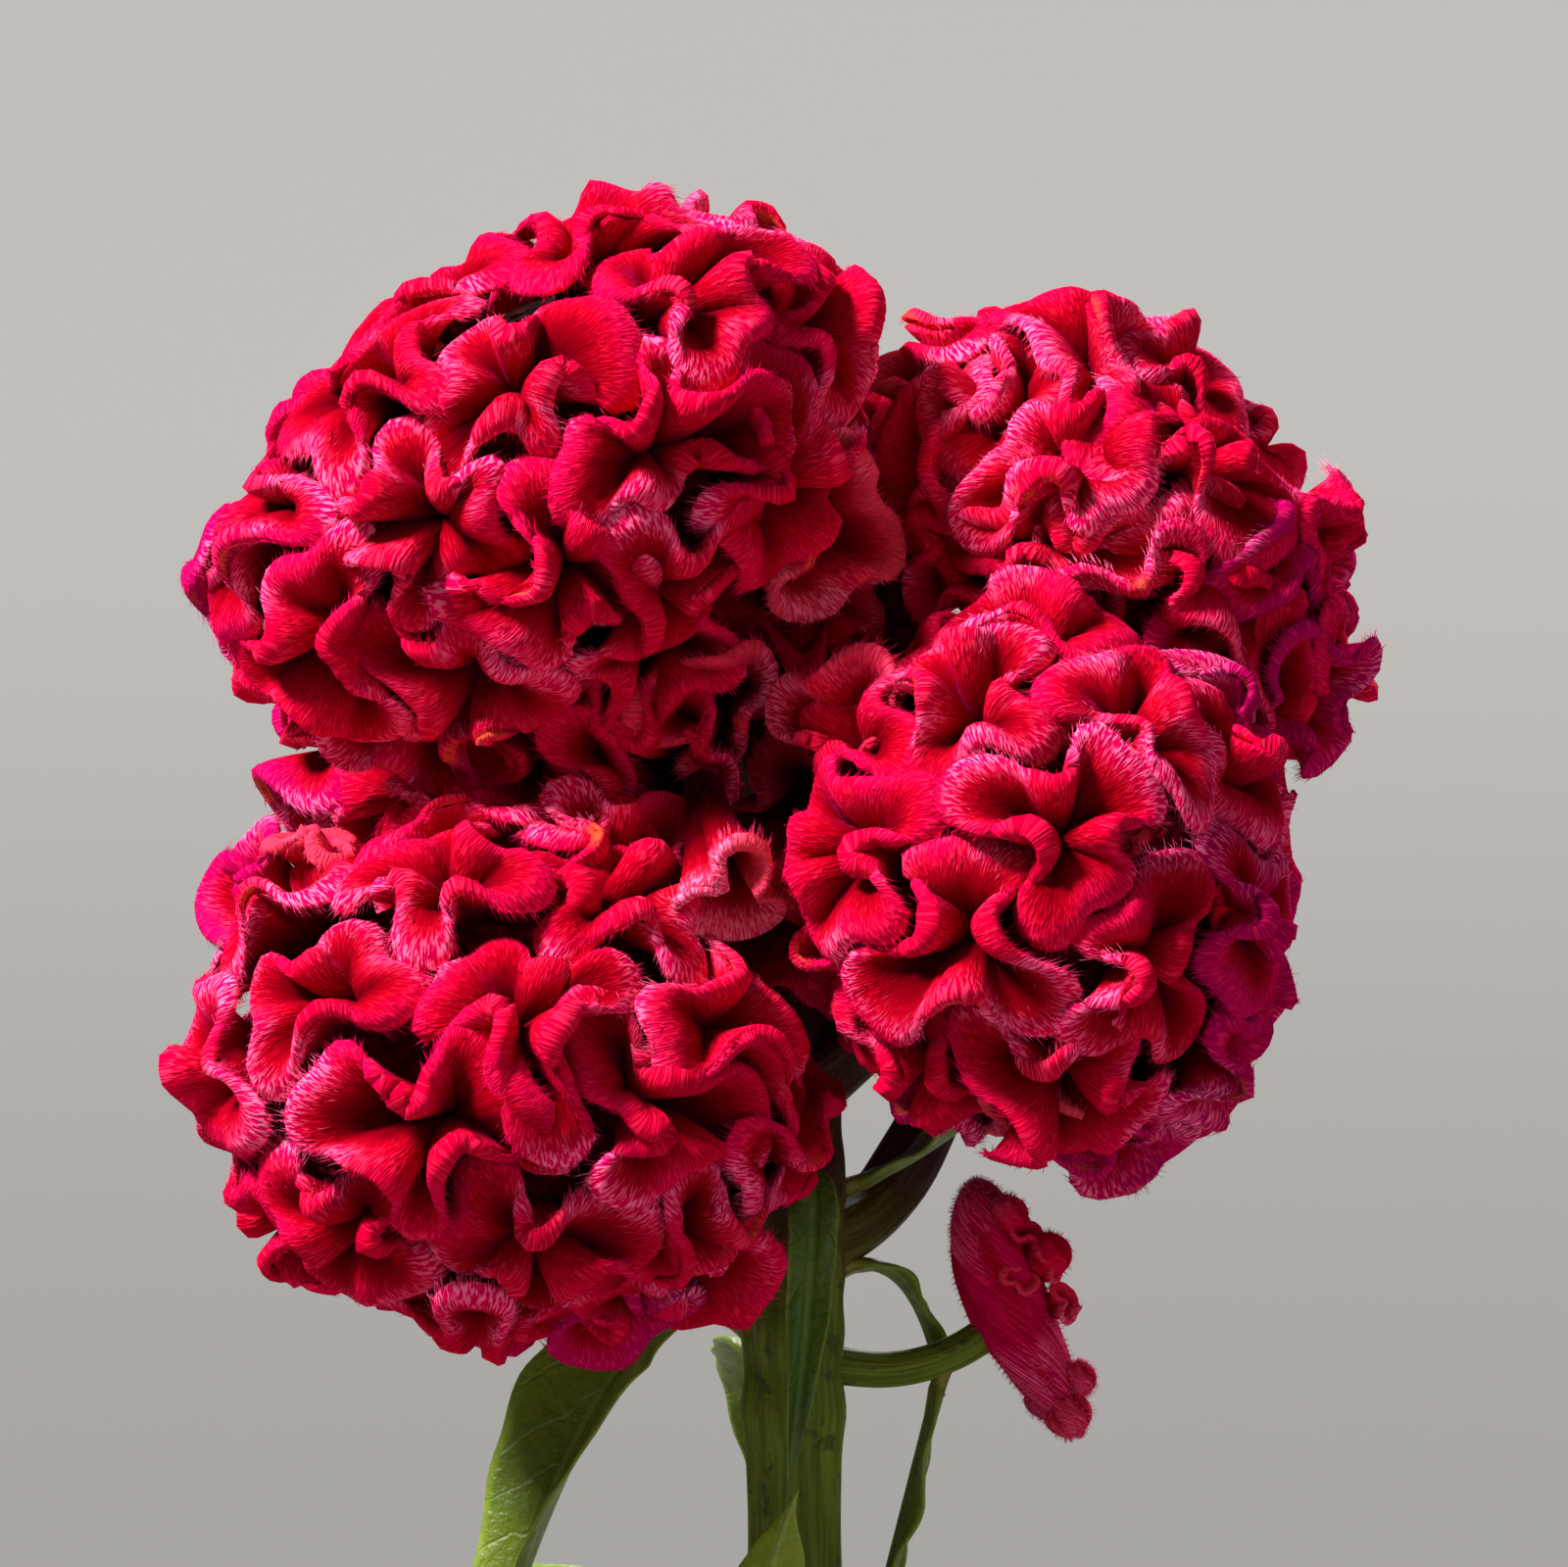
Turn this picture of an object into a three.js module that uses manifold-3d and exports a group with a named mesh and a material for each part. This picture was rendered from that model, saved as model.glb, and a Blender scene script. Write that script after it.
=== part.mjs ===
// A crested celosia (cockscomb) growing in a plain terracotta pot.
// Millimetres, +Z up. The origin is the centre of the pot's underside, and the side seen in the photo faces -Y.
import * as THREE from 'three';
import { ConvexGeometry } from 'three/addons/geometries/ConvexGeometry.js';
import { mergeVertices } from 'three/addons/utils/BufferGeometryUtils.js';
import Module from 'manifold-3d';

const wasm = await Module();
wasm.setup();

// Driving dimensions
const clearance = 0.3;
const pot = { height: 118, footRadius: 46, shoulderRadius: 60, rimRadius: 66, rimHeight: 25, wall: 6, floor: 7 };
const drain = { count: 3, radius: 5, circle: 22 };
const soil = { belowRim: 13, bump: 1.5, holeBottom: 68 };
const stem = { radius: 4.7, rib: 0.35, ribs: 7, branchRadius: 3.1, shootRadius: 1.7 };
const leafBlade = { thickness: 0.8, petioleHalf: 1.1, petioleThickness: 1.8, fold: 0.42, wave: 1.1, stations: 8 };
const headCentre = new THREE.Vector3(0, -10, 250);

// The flower head: ellipsoid lobes round the head's centre, each covered by closed, wandering crest ridges.
// centre and half (half sizes) are relative to the head's centre, and tilt is degrees about -Y.
// root is the point that a lobe grows away from, so its bare side faces it.
const lobes = [
  { name: 'crest_upper_left', centre: [-24.4, -8, 29.5], half: [40, 27, 24.5], tilt: 30, root: [0, 12, -12], ridges: 8,
    via: [[0, 10, -20], [-3, 11, 2]] },
  { name: 'crest_upper_right', centre: [30.9, 4, 23.7], half: [30, 25, 22], tilt: -40, root: [20, 26, 5], ridges: 7,
    via: [[0, 10, -20], [10, 8, 0]] },
  { name: 'crest_right', centre: [23.9, -16, -9.1], half: [27, 24, 30], tilt: 0, root: [16, 26, -12], ridges: 6,
    via: [[0, 10, -30], [8, 6, -24]] },
  { name: 'crest_lower_left', centre: [-28.7, -12, -27.8], half: [33.5, 27, 28.5], tilt: 0, root: [-14, 28, -26], ridges: 8,
    via: [[0, 10, -34], [-8, 8, -34]] },
  { name: 'crest_back_left', centre: [-24.4, 33, 1], half: [30, 22, 33], tilt: 0, root: [0, 36, -24], ridges: 7,
    via: [[0, 10, -42], [-8, 16, -36]] },
  { name: 'crest_back_right', centre: [25.4, 29, -9.6], half: [26, 20, 28], tilt: 0, root: [1, 30, -34], ridges: 5,
    via: [[0, 10, -46], [8, 16, -42]] },
  { name: 'crest_middle', centre: [5, 16, 22], half: [14, 17, 21], tilt: 0, root: [2, 12, -20], ridges: 2 },
];

// The small crest on the side shoot, and the shoot's route, both relative to the head's centre.
const sideCrest = {
  centre: [22.5, 8, -51.7],
  half: [11, 12, 30],
  tilt: 23,
  root: [-8, 1, -5],
  scale: 0.45,
  shoot: [[0, 10, -57], [9, 9.5, -58], [15, 9, -56.5], [22.5, 8, -51.7]],
};

// Leaves: height on the stem, azimuth (0 is +X, -90 the photographed side), half width, and the bend of the midrib.
const shownLeaves = [
  { height: 196, azimuth: 170, half: 6.5, through: [-18, 4, 207], tip: [-34, 0, 150] },
  { height: 212, azimuth: -80, half: 2.6, through: [4.5, -9, 215], tip: [-0.5, -9.5, 179] },
  { height: 130, azimuth: -108, half: 6, through: [-9, -17, 160], tip: [0, -15.5, 181.5] },
  { height: 210, azimuth: 5, half: 2, through: [13, -0.5, 213], tip: [21.5, -2, 221] },
  { height: 202, azimuth: 15, half: 1.8, through: [12, 2.5, 205], tip: [14.5, 4, 189] },
  { from: [12, -0.7, 190.3], azimuth: 0, half: 3, through: [13.5, -1, 180], tip: [8, 0, 167] },
  { height: 188, azimuth: 96, half: 5.5, through: [-2, 24, 202], tip: [-5, 42, 176] },
];
const spiralLeaves = [0, 1, 2, 3, 5, 6].map((step) => ({
  height: 132 + 4.6 * step,
  azimuth: (40 + 137.5 * step) % 360,
  half: 11 - 0.6 * step,
  length: 96 - 3 * step,
  rise: 38,
  droop: 0.12 + 0.02 * (step % 3),
}));
const leaves = [...shownLeaves, ...spiralLeaves];

const growth = {
  pointsPerRidge: 36,
  link: 4.2,
  spacing: 8.4,
  coverAngle: 2.2,
  margin: 3,
  steps: 360,
  hold: 0.85,
  startRadius: 0.32,
  startNoise: 0.1,
  bending: 0.05,
  repulsion: 0.8,
};
const crest = {
  lipHalf: 1.8,
  lobeGap: 1,
  valleyFloor: 0.62,
  valleyOffset: 3.9,
  valleyClear: 2.9,
  valleyStep: 2.4,
  bareClear: 4,
  bareStep: 3.4,
  bareCount: 900,
};

// Small helpers
function randomSequence(seed) {
  let state = seed;
  return () => {
    state = (state * 1664525 + 1013904223) % 4294967296;
    return state / 4294967296;
  };
}

function toSolid(geometry) {
  const bare = geometry.clone();
  bare.deleteAttribute('normal');
  bare.deleteAttribute('uv');
  const merged = mergeVertices(bare, 1e-5);
  return new wasm.Manifold(new wasm.Mesh({
    numProp: 3,
    vertProperties: merged.attributes.position.array,
    triVerts: new Uint32Array(merged.index.array),
  }));
}

function toGeometry(solid) {
  const result = solid.getMesh();
  const geometry = new THREE.BufferGeometry();
  geometry.setAttribute('position', new THREE.BufferAttribute(new Float32Array(result.vertProperties), 3));
  geometry.setIndex(new THREE.BufferAttribute(new Uint32Array(result.triVerts), 1));
  return geometry;
}

// The largest body of a joined solid, without loose scraps and sealed hollows.
function mainBody(solid) {
  const bodies = solid.decompose();
  return bodies.reduce((best, body) => (body.volume() > best.volume() ? body : best));
}

function joinAll(solids) {
  return mainBody(wasm.Manifold.union(solids));
}

function part(name, geometry, color, roughness) {
  const shown = geometry.index ? geometry.toNonIndexed() : geometry;
  shown.computeVertexNormals();
  const mesh = new THREE.Mesh(shown, new THREE.MeshStandardMaterial({ color, roughness, metalness: 0 }));
  mesh.name = name;
  return mesh;
}

// A lobe's matrix takes the unit sphere to its tilted ellipsoid.
function shapeLobe(lobe) {
  const turn = new THREE.Matrix3().setFromMatrix4(new THREE.Matrix4().makeRotationY(-lobe.tilt * Math.PI / 180));
  const stretch = new THREE.Matrix3().set(lobe.half[0], 0, 0, 0, lobe.half[1], 0, 0, 0, lobe.half[2]);
  const matrix = turn.multiply(stretch);
  const inverse = matrix.clone().invert();
  const centre = new THREE.Vector3(...lobe.centre);
  const axis = centre.clone().sub(new THREE.Vector3(...lobe.root)).normalize().applyMatrix3(inverse).normalize();
  const side = new THREE.Vector3().crossVectors(axis, new THREE.Vector3(0.1, 1, 0.2)).normalize();
  const up = new THREE.Vector3().crossVectors(axis, side);
  return { ...lobe, matrix, inverse, centre, axis, side, up };
}

const shapes = lobes.map(shapeLobe);

// Rings of points laid out on the lobe's unit sphere, from which the ridges grow.
function startingRings(lobe, seed) {
  const random = randomSequence(seed);
  const rings = [];
  for (let ring = 0; ring < lobe.ridges; ring += 1) {
    const phases = Array.from({ length: 10 }, () => random() * 6.283);
    const polar = growth.coverAngle * 0.82 * Math.sqrt((ring + 0.35) / lobe.ridges);
    const turn = ring * 2.39996 + seed;
    const middle = lobe.axis.clone().multiplyScalar(Math.cos(polar))
      .addScaledVector(lobe.side, Math.cos(turn) * Math.sin(polar))
      .addScaledVector(lobe.up, Math.sin(turn) * Math.sin(polar));
    const across = new THREE.Vector3().crossVectors(middle, new THREE.Vector3(0.3, 0.2, 0.93)).normalize();
    const along = new THREE.Vector3().crossVectors(middle, across);
    for (let i = 0; i < growth.pointsPerRidge; i += 1) {
      const t = 2 * Math.PI * i / growth.pointsPerRidge;
      const noise = phases.reduce((sum, phase, k) => sum + Math.sin((k + 2) * t + phase), 0);
      const radius = growth.startRadius * (1 + growth.startNoise * noise);
      rings.push(middle.clone().multiplyScalar(Math.cos(radius))
        .addScaledVector(across, Math.cos(t) * Math.sin(radius))
        .addScaledVector(along, Math.sin(t) * Math.sin(radius)));
    }
  }
  return rings;
}

// The place of point i's neighbour, k places on round its own ridge.
function neighbour(i, k) {
  const count = growth.pointsPerRidge;
  const ridge = Math.floor(i / count);
  return ridge * count + (i - ridge * count + k + count) % count;
}

// Ridge lines that lengthen until they fill the lobe: links pull to length, bends stiffen, strands keep apart.
function growRidges(lobe, others, seed) {
  const onSphere = startingRings(lobe, seed);
  const place = (point) => point.clone().applyMatrix3(lobe.matrix).add(lobe.centre);
  let points = onSphere.map(place);
  const total = points.length;
  const startLink = points.reduce((sum, p, i) => sum + p.distanceTo(points[neighbour(i, 1)]), 0) / total;
  for (let step = 0; step < growth.steps; step += 1) {
    const grown = Math.min(1, step / (growth.steps * growth.hold));
    const link = startLink + (growth.link - startLink) * grown;
    const reach = growth.spacing * 1.15 * (0.5 + 0.5 * grown);
    const skip = reach * 1.4 / link;
    const forces = points.map((p, i) => {
      const force = new THREE.Vector3();
      for (const k of [1, -1]) {
        const away = points[neighbour(i, k)].clone().sub(p);
        const length = away.length();
        force.addScaledVector(away, 0.45 * (length - link) / length);
      }
      const bend = p.clone().multiplyScalar(6);
      bend.addScaledVector(points[neighbour(i, 1)], -4).addScaledVector(points[neighbour(i, -1)], -4);
      bend.add(points[neighbour(i, 2)]).add(points[neighbour(i, -2)]);
      force.addScaledVector(bend, -growth.bending);
      return force;
    });
    pushApart(points, forces, reach, skip);
    points = points.map((p, i) => {
      const force = forces[i];
      const outside = Math.max(0, Math.cos(growth.coverAngle) - onSphere[i].dot(lobe.axis));
      const inward = lobe.axis.clone().addScaledVector(onSphere[i], -onSphere[i].dot(lobe.axis));
      force.addScaledVector(inward.applyMatrix3(lobe.matrix).normalize(), 14 * outside);
      for (const other of others) {
        const from = p.clone().sub(other.centre);
        const level = from.clone().applyMatrix3(other.inverse).length();
        force.addScaledVector(from.normalize(), 9 * Math.max(0, 1 + growth.margin / 28 - level));
      }
      force.clampLength(0, 0.9);
      onSphere[i] = p.clone().add(force).sub(lobe.centre).applyMatrix3(lobe.inverse).normalize();
      return place(onSphere[i]);
    });
  }
  return { points, onSphere };
}

// Strands that are not near neighbours along a ridge push each other away.
function pushApart(points, forces, reach, skip) {
  const count = growth.pointsPerRidge;
  for (let i = 0; i < points.length; i += 1) {
    const a = points[i];
    for (let j = i + 1; j < points.length; j += 1) {
      const b = points[j];
      const x = a.x - b.x;
      const y = a.y - b.y;
      const z = a.z - b.z;
      const distance = Math.sqrt(x * x + y * y + z * z) + 1e-9;
      const sameRidge = Math.floor(i / count) === Math.floor(j / count);
      const apart = Math.min(j - i, count - (j - i));
      if (distance < reach && !(sameRidge && apart <= skip)) {
        const push = growth.repulsion * (1 - distance / reach) / distance;
        forces[i].set(forces[i].x + x * push, forces[i].y + y * push, forces[i].z + z * push);
        forces[j].set(forces[j].x - x * push, forces[j].y - y * push, forces[j].z - z * push);
      }
    }
  }
}

// Rounds the corners of the grown lines and keeps them on the lobe.
function soften(onSphere) {
  return onSphere.map((q, i) => q.clone().multiplyScalar(2)
    .add(onSphere[neighbour(i, 1)]).add(onSphere[neighbour(i, -1)]).normalize());
}

const ridgeLines = shapes.map((lobe, i) => ridgeLine(lobe, shapes.filter((other) => other !== lobe), 11 + i));

function ridgeLine(lobe, others, seed) {
  const onSphere = soften(growRidges(lobe, others, seed).onSphere);
  return onSphere.map((q) => q.clone().applyMatrix3(lobe.matrix).add(lobe.centre));
}

function nearestDistance(point, list) {
  return list.reduce((least, other) => Math.min(least, point.distanceTo(other)), Infinity);
}

// A lobe is its ellipsoid with the ridges' lips left at full height and the valleys between them sunk.
// A lip narrows where a ridge of another lobe comes close.
function crestGeometry(lobe, line, otherLines) {
  const middles = line.map((p, i) => p.clone().lerp(line[neighbour(i, 1)], 0.5));
  const strands = [...line, ...middles];
  const normalMatrix = lobe.inverse.clone().transpose();
  const toSphere = (p) => p.clone().sub(lobe.centre).applyMatrix3(lobe.inverse).normalize();
  const onLobe = (q) => q.clone().applyMatrix3(lobe.matrix).add(lobe.centre);
  const lips = [];
  const valleys = [];
  line.forEach((rim, i) => {
    const tangent = line[neighbour(i, 1)].clone().sub(line[neighbour(i, -1)]).normalize();
    const outward = toSphere(rim).applyMatrix3(normalMatrix).normalize();
    const across = new THREE.Vector3().crossVectors(tangent, outward);
    const half = Math.min(crest.lipHalf, (nearestDistance(rim, otherLines) - crest.lobeGap) / 2);
    for (const side of [1, -1]) {
      const lip = onLobe(toSphere(rim.clone().addScaledVector(across, side * half)));
      if (nearestDistance(lip, strands) > half * 0.8 && nearestDistance(lip, lips) > 0.9) {
        lips.push(lip);
      }
      const valley = onLobe(toSphere(rim.clone().addScaledVector(across, side * crest.valleyOffset)));
      if (nearestDistance(valley, strands) > crest.valleyClear && nearestDistance(valley, valleys) > crest.valleyStep) {
        valleys.push(valley);
      }
    }
  });
  for (let k = 0; k < crest.bareCount; k += 1) {
    const height = 1 - 2 * (k + 0.5) / crest.bareCount;
    const turn = k * 2.39996;
    const ring = Math.sqrt(1 - height * height);
    const bare = onLobe(new THREE.Vector3(ring * Math.cos(turn), ring * Math.sin(turn), height));
    if (nearestDistance(bare, strands) > crest.bareClear && nearestDistance(bare, valleys) > crest.bareStep) {
      valleys.push(bare);
    }
  }
  const rims = lips.map(toSphere);
  const hull = new ConvexGeometry([...rims, ...valleys.map(toSphere)]);
  const position = hull.attributes.position;
  const vertex = new THREE.Vector3();
  for (let i = 0; i < position.count; i += 1) {
    vertex.fromBufferAttribute(position, i);
    const raised = nearestDistance(vertex, rims) < 1e-4;
    vertex.multiplyScalar(raised ? 1 : crest.valleyFloor).applyMatrix3(lobe.matrix).add(lobe.centre);
    position.setXYZ(i, vertex.x, vertex.y, vertex.z);
  }
  return hull;
}

// The small crest of the side shoot is grown at a larger size and then scaled down.
const sideShape = shapeLobe({ centre: [0, 0, 0], half: sideCrest.half, tilt: sideCrest.tilt, root: sideCrest.root, ridges: 3 });

function sideCrestGeometry() {
  const geometry = crestGeometry(sideShape, ridgeLine(sideShape, [], 5), []);
  geometry.scale(sideCrest.scale, sideCrest.scale, sideCrest.scale);
  geometry.translate(...sideCrest.centre);
  return geometry;
}

// A closed body through rings of equal counts, each ring a loop of points.
function loft(rings) {
  const count = rings[0].length;
  const faces = [];
  for (let r = 0; r + 1 < rings.length; r += 1) {
    for (let i = 0; i < count; i += 1) {
      const a = r * count + i;
      const b = r * count + (i + 1) % count;
      faces.push(a, b, b + count, a, b + count, a + count);
    }
  }
  const last = (rings.length - 1) * count;
  for (let i = 0; i < count / 2 - 1; i += 1) {
    const opposite = count - 1 - i;
    faces.push(i, opposite, opposite - 1, i, opposite - 1, i + 1);
    faces.push(last + i, last + opposite - 1, last + opposite, last + i, last + i + 1, last + opposite - 1);
  }
  const geometry = new THREE.BufferGeometry();
  geometry.setAttribute('position', new THREE.Float32BufferAttribute(rings.flat().flatMap((p) => p.toArray()), 3));
  geometry.setIndex(faces);
  return geometry;
}

// Stem and branches
const headPoint = (x, y, z) => new THREE.Vector3(x, y, z).add(headCentre);
const trunkPath = new THREE.CatmullRomCurve3([
  new THREE.Vector3(0, 0, soil.holeBottom + clearance),
  new THREE.Vector3(0, 0, 90),
  new THREE.Vector3(0, 0, 108),
  new THREE.Vector3(-0.7, 0.3, 140),
  new THREE.Vector3(-0.3, -0.4, 175),
  headPoint(-0.4, 10, -48),
  headPoint(0.2, 10, -22),
  headPoint(2.5, 13, -4),
  headPoint(5, 16, 14),
]);

function ribbedSection(radius, ribs, rib, points) {
  const corners = Array.from({ length: points }, (unused, i) => {
    const turn = 2 * Math.PI * i / points;
    const r = radius + rib * Math.cos(ribs * turn);
    return new THREE.Vector2(r * Math.cos(turn), r * Math.sin(turn));
  });
  return new THREE.Shape(corners);
}

function tube(path, section, steps) {
  return toSolid(new THREE.ExtrudeGeometry(section, { steps, extrudePath: path }));
}

function branch(points, radius, steps) {
  const path = new THREE.CatmullRomCurve3(points.map((p) => headPoint(...p)));
  return tube(path, ribbedSection(radius, 0, 0, 7), steps);
}

// The smooth ellipsoid of a lobe's bare side, a little larger so that a branch stops just short of it.
function socket({ centre, half, tilt, scale = 1 }) {
  const geometry = new THREE.IcosahedronGeometry(1, 3);
  const size = half.map((value) => value * scale * crest.valleyFloor + 2 * clearance);
  geometry.scale(...size);
  geometry.rotateY(-tilt * Math.PI / 180);
  geometry.translate(...headPoint(...centre).toArray());
  return toSolid(geometry);
}

function stemGeometry() {
  const trunk = tube(trunkPath, ribbedSection(stem.radius, stem.ribs, stem.rib, 14), 15);
  const branches = shapes.filter((shape) => shape.via).map((shape) => {
    const end = shape.centre.toArray();
    return branch([shape.via[0], shape.via[1], end], stem.branchRadius, 5);
  });
  const shoot = branch(sideCrest.shoot, stem.shootRadius, 5);
  const joined = wasm.Manifold.union([trunk, ...branches, shoot]);
  const cut = [...lobes, sideCrest].reduce((solid, crestSize) => solid.subtract(socket(crestSize)), joined);
  return toGeometry(mainBody(cut));
}

// Leaves: a folded, waved blade along a curve from the stem
function trunkAt(height) {
  let low = 0;
  let high = 1;
  for (let k = 0; k < 30; k += 1) {
    const middle = (low + high) / 2;
    if (trunkPath.getPoint(middle).z < height) {
      low = middle;
    } else {
      high = middle;
    }
  }
  return trunkPath.getPoint(low);
}

function leafCurve(leaf) {
  const turn = leaf.azimuth * Math.PI / 180;
  const outward = new THREE.Vector3(Math.cos(turn), Math.sin(turn), 0);
  const carrier = leaf.from ? new THREE.Vector3(...leaf.from) : trunkAt(leaf.height);
  const start = carrier.addScaledVector(outward, leaf.from ? 0 : stem.radius + stem.rib + clearance);
  if (leaf.through) {
    return new THREE.QuadraticBezierCurve3(start, new THREE.Vector3(...leaf.through), new THREE.Vector3(...leaf.tip));
  }
  const rise = leaf.rise * Math.PI / 180;
  const bend = start.clone().addScaledVector(outward, 0.45 * leaf.length * Math.cos(rise));
  bend.z += 0.45 * leaf.length * Math.sin(rise);
  const tip = start.clone().addScaledVector(outward, 0.86 * leaf.length);
  tip.z -= leaf.droop * leaf.length;
  return new THREE.QuadraticBezierCurve3(start, bend, tip);
}

function leafGeometry(leaf) {
  const curve = leafCurve(leaf);
  const turn = leaf.azimuth * Math.PI / 180;
  const sideways = new THREE.Vector3(-Math.sin(turn), Math.cos(turn), 0);
  const places = [-1, -0.5, 0, 0.5, 1];
  const rings = [];
  for (let k = 0; k <= leafBlade.stations; k += 1) {
    const s = k / leafBlade.stations;
    const blade = Math.max(0, (s - 0.1) / 0.9);
    const middle = curve.getPoint(s);
    const flush = k === 0 && !leaf.from;
    const tangent = flush ? new THREE.Vector3(Math.cos(turn), Math.sin(turn), 0) : curve.getTangent(s);
    const across = sideways.clone().addScaledVector(tangent, -sideways.dot(tangent)).normalize();
    const up = new THREE.Vector3().crossVectors(tangent, across).normalize();
    const half = leafBlade.petioleHalf * (1 - 0.6 * s) + leaf.half * Math.sin(Math.PI * blade ** 0.8) ** 1.1;
    const petiole = Math.max(0, 1 - s / 0.25);
    const thickness = leafBlade.thickness + (leafBlade.petioleThickness - leafBlade.thickness) * petiole;
    const spread = Math.min(1, half / leaf.half);
    const pointAt = (u, lift) => {
      const wave = leafBlade.wave * Math.sin(5 * Math.PI * s + leaf.azimuth + 1.3 * u) * u * u * spread * blade;
      const raise = leafBlade.fold * half * Math.abs(u) * blade + wave + lift;
      return middle.clone().addScaledVector(across, half * u).addScaledVector(up, raise);
    };
    const top = places.map((u) => pointAt(u, thickness / 2)).reverse();
    const bottom = places.map((u) => pointAt(u, -thickness / 2));
    rings.push([...top, ...bottom]);
  }
  return loft(rings);
}

// Soil and pot
function lathe(points, segments) {
  const profile = points.map(([radius, height]) => new THREE.Vector2(radius, height));
  const geometry = new THREE.LatheGeometry(profile, segments);
  geometry.rotateX(Math.PI / 2);
  return geometry;
}

function innerPotRadius(height) {
  const shoulder = pot.height - pot.rimHeight;
  const rimInner = pot.rimRadius - pot.wall;
  const bodyInner = pot.shoulderRadius - pot.wall;
  if (height > shoulder) {
    return bodyInner + (rimInner - bodyInner) * (height - shoulder) / pot.rimHeight;
  }
  const floorInner = pot.footRadius - pot.wall + 1;
  return floorInner + (bodyInner - floorInner) * (height - pot.floor) / (shoulder - pot.floor);
}

function soilGeometry() {
  const top = pot.height - soil.belowRim;
  const shoulder = pot.height - pot.rimHeight;
  const holeRadius = stem.radius + stem.rib + clearance;
  const edge = innerPotRadius(top - 1) - clearance;
  const surface = [0.9, 0.78, 0.64, 0.5, 0.36, 0.22].map((share) => [edge * share, top]);
  const geometry = lathe([
    [0, pot.floor + clearance],
    [innerPotRadius(pot.floor) - clearance, pot.floor + clearance],
    [innerPotRadius(shoulder) - clearance, shoulder],
    [edge, top - 1],
    ...surface,
    [holeRadius, top],
    [holeRadius, soil.holeBottom],
    [0, soil.holeBottom],
  ], 26);
  const position = geometry.attributes.position;
  for (let i = 0; i < position.count; i += 1) {
    const x = position.getX(i);
    const y = position.getY(i);
    const radius = Math.hypot(x, y);
    if (position.getZ(i) > top - 0.5 && radius > holeRadius + 1) {
      const bump = Math.sin(0.21 * x + 0.9) * Math.cos(0.17 * y) + 0.7 * Math.sin(0.43 * y + 0.31 * x);
      position.setZ(i, top + soil.bump * bump * Math.min(1, (radius - holeRadius) / 10));
    }
  }
  return geometry;
}

function potGeometry() {
  const shoulder = pot.height - pot.rimHeight;
  const body = toSolid(lathe([
    [0, 0],
    [pot.footRadius - 1.5, 0],
    [pot.footRadius, 1.5],
    [pot.shoulderRadius, shoulder],
    [pot.rimRadius - 0.8, shoulder],
    [pot.rimRadius, shoulder + 1],
    [pot.rimRadius, pot.height - 1.5],
    [pot.rimRadius - 1.5, pot.height],
    [pot.rimRadius - pot.wall + 1.5, pot.height],
    [pot.rimRadius - pot.wall, pot.height - 1.5],
    [innerPotRadius(shoulder), shoulder],
    [innerPotRadius(pot.floor), pot.floor],
    [0, pot.floor],
  ], 32));
  const holes = Array.from({ length: drain.count }, (unused, i) => {
    const turn = 2 * Math.PI * i / drain.count + 0.5;
    const hole = new THREE.CylinderGeometry(drain.radius, drain.radius, 3 * pot.floor, 12);
    hole.rotateX(Math.PI / 2);
    hole.translate(drain.circle * Math.cos(turn), drain.circle * Math.sin(turn), pot.floor / 2);
    return toSolid(hole);
  });
  return toGeometry(body.subtract(wasm.Manifold.union(holes)));
}

// The whole plant in its pot
const plant = new THREE.Group();
plant.add(part('pot', potGeometry(), 0xb5603a, 0.9));
plant.add(part('soil', soilGeometry(), 0x3a281c, 1));
plant.add(part('stem', stemGeometry(), 0x7f9a3a, 0.6));
const head = new THREE.Group();
head.position.copy(headCentre);
plant.add(head);
shapes.forEach((shape, i) => {
  const otherLines = ridgeLines.filter((line, k) => k !== i).flat();
  head.add(part(shape.name, crestGeometry(shape, ridgeLines[i], otherLines), 0xc4123f, 0.85));
});
head.add(part('crest_side', sideCrestGeometry(), 0xb01250, 0.85));
leaves.forEach((leaf, i) => {
  plant.add(part(`leaf_${String(i + 1).padStart(2, '0')}`, leafGeometry(leaf), 0x4f7a2c, 0.55));
});

export default plant;
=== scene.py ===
import bpy
import bmesh
import math
import numpy as np
from mathutils import Matrix, Vector, noise


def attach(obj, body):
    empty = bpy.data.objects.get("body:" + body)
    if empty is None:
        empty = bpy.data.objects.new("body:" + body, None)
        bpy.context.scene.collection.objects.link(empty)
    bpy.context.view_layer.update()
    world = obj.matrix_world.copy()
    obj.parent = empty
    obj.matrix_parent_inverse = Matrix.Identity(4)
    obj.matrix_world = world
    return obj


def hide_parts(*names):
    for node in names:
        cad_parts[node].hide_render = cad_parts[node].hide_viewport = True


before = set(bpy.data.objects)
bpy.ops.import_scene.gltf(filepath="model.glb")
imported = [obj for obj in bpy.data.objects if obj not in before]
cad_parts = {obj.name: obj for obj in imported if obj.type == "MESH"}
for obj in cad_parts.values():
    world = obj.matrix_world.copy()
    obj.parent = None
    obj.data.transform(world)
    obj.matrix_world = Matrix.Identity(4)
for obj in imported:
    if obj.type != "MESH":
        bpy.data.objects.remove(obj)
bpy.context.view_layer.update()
mm = 0.001
weldDistance = 2e-6  # metres
fullTurn = 2 * math.pi
phaseSpan = 6.283    # a full turn, for random phases
headCentre = np.array([0.0, -10.0, 250.0])  # millimetres, like all plant sizes below


# Small helpers for nodes and colours

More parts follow.
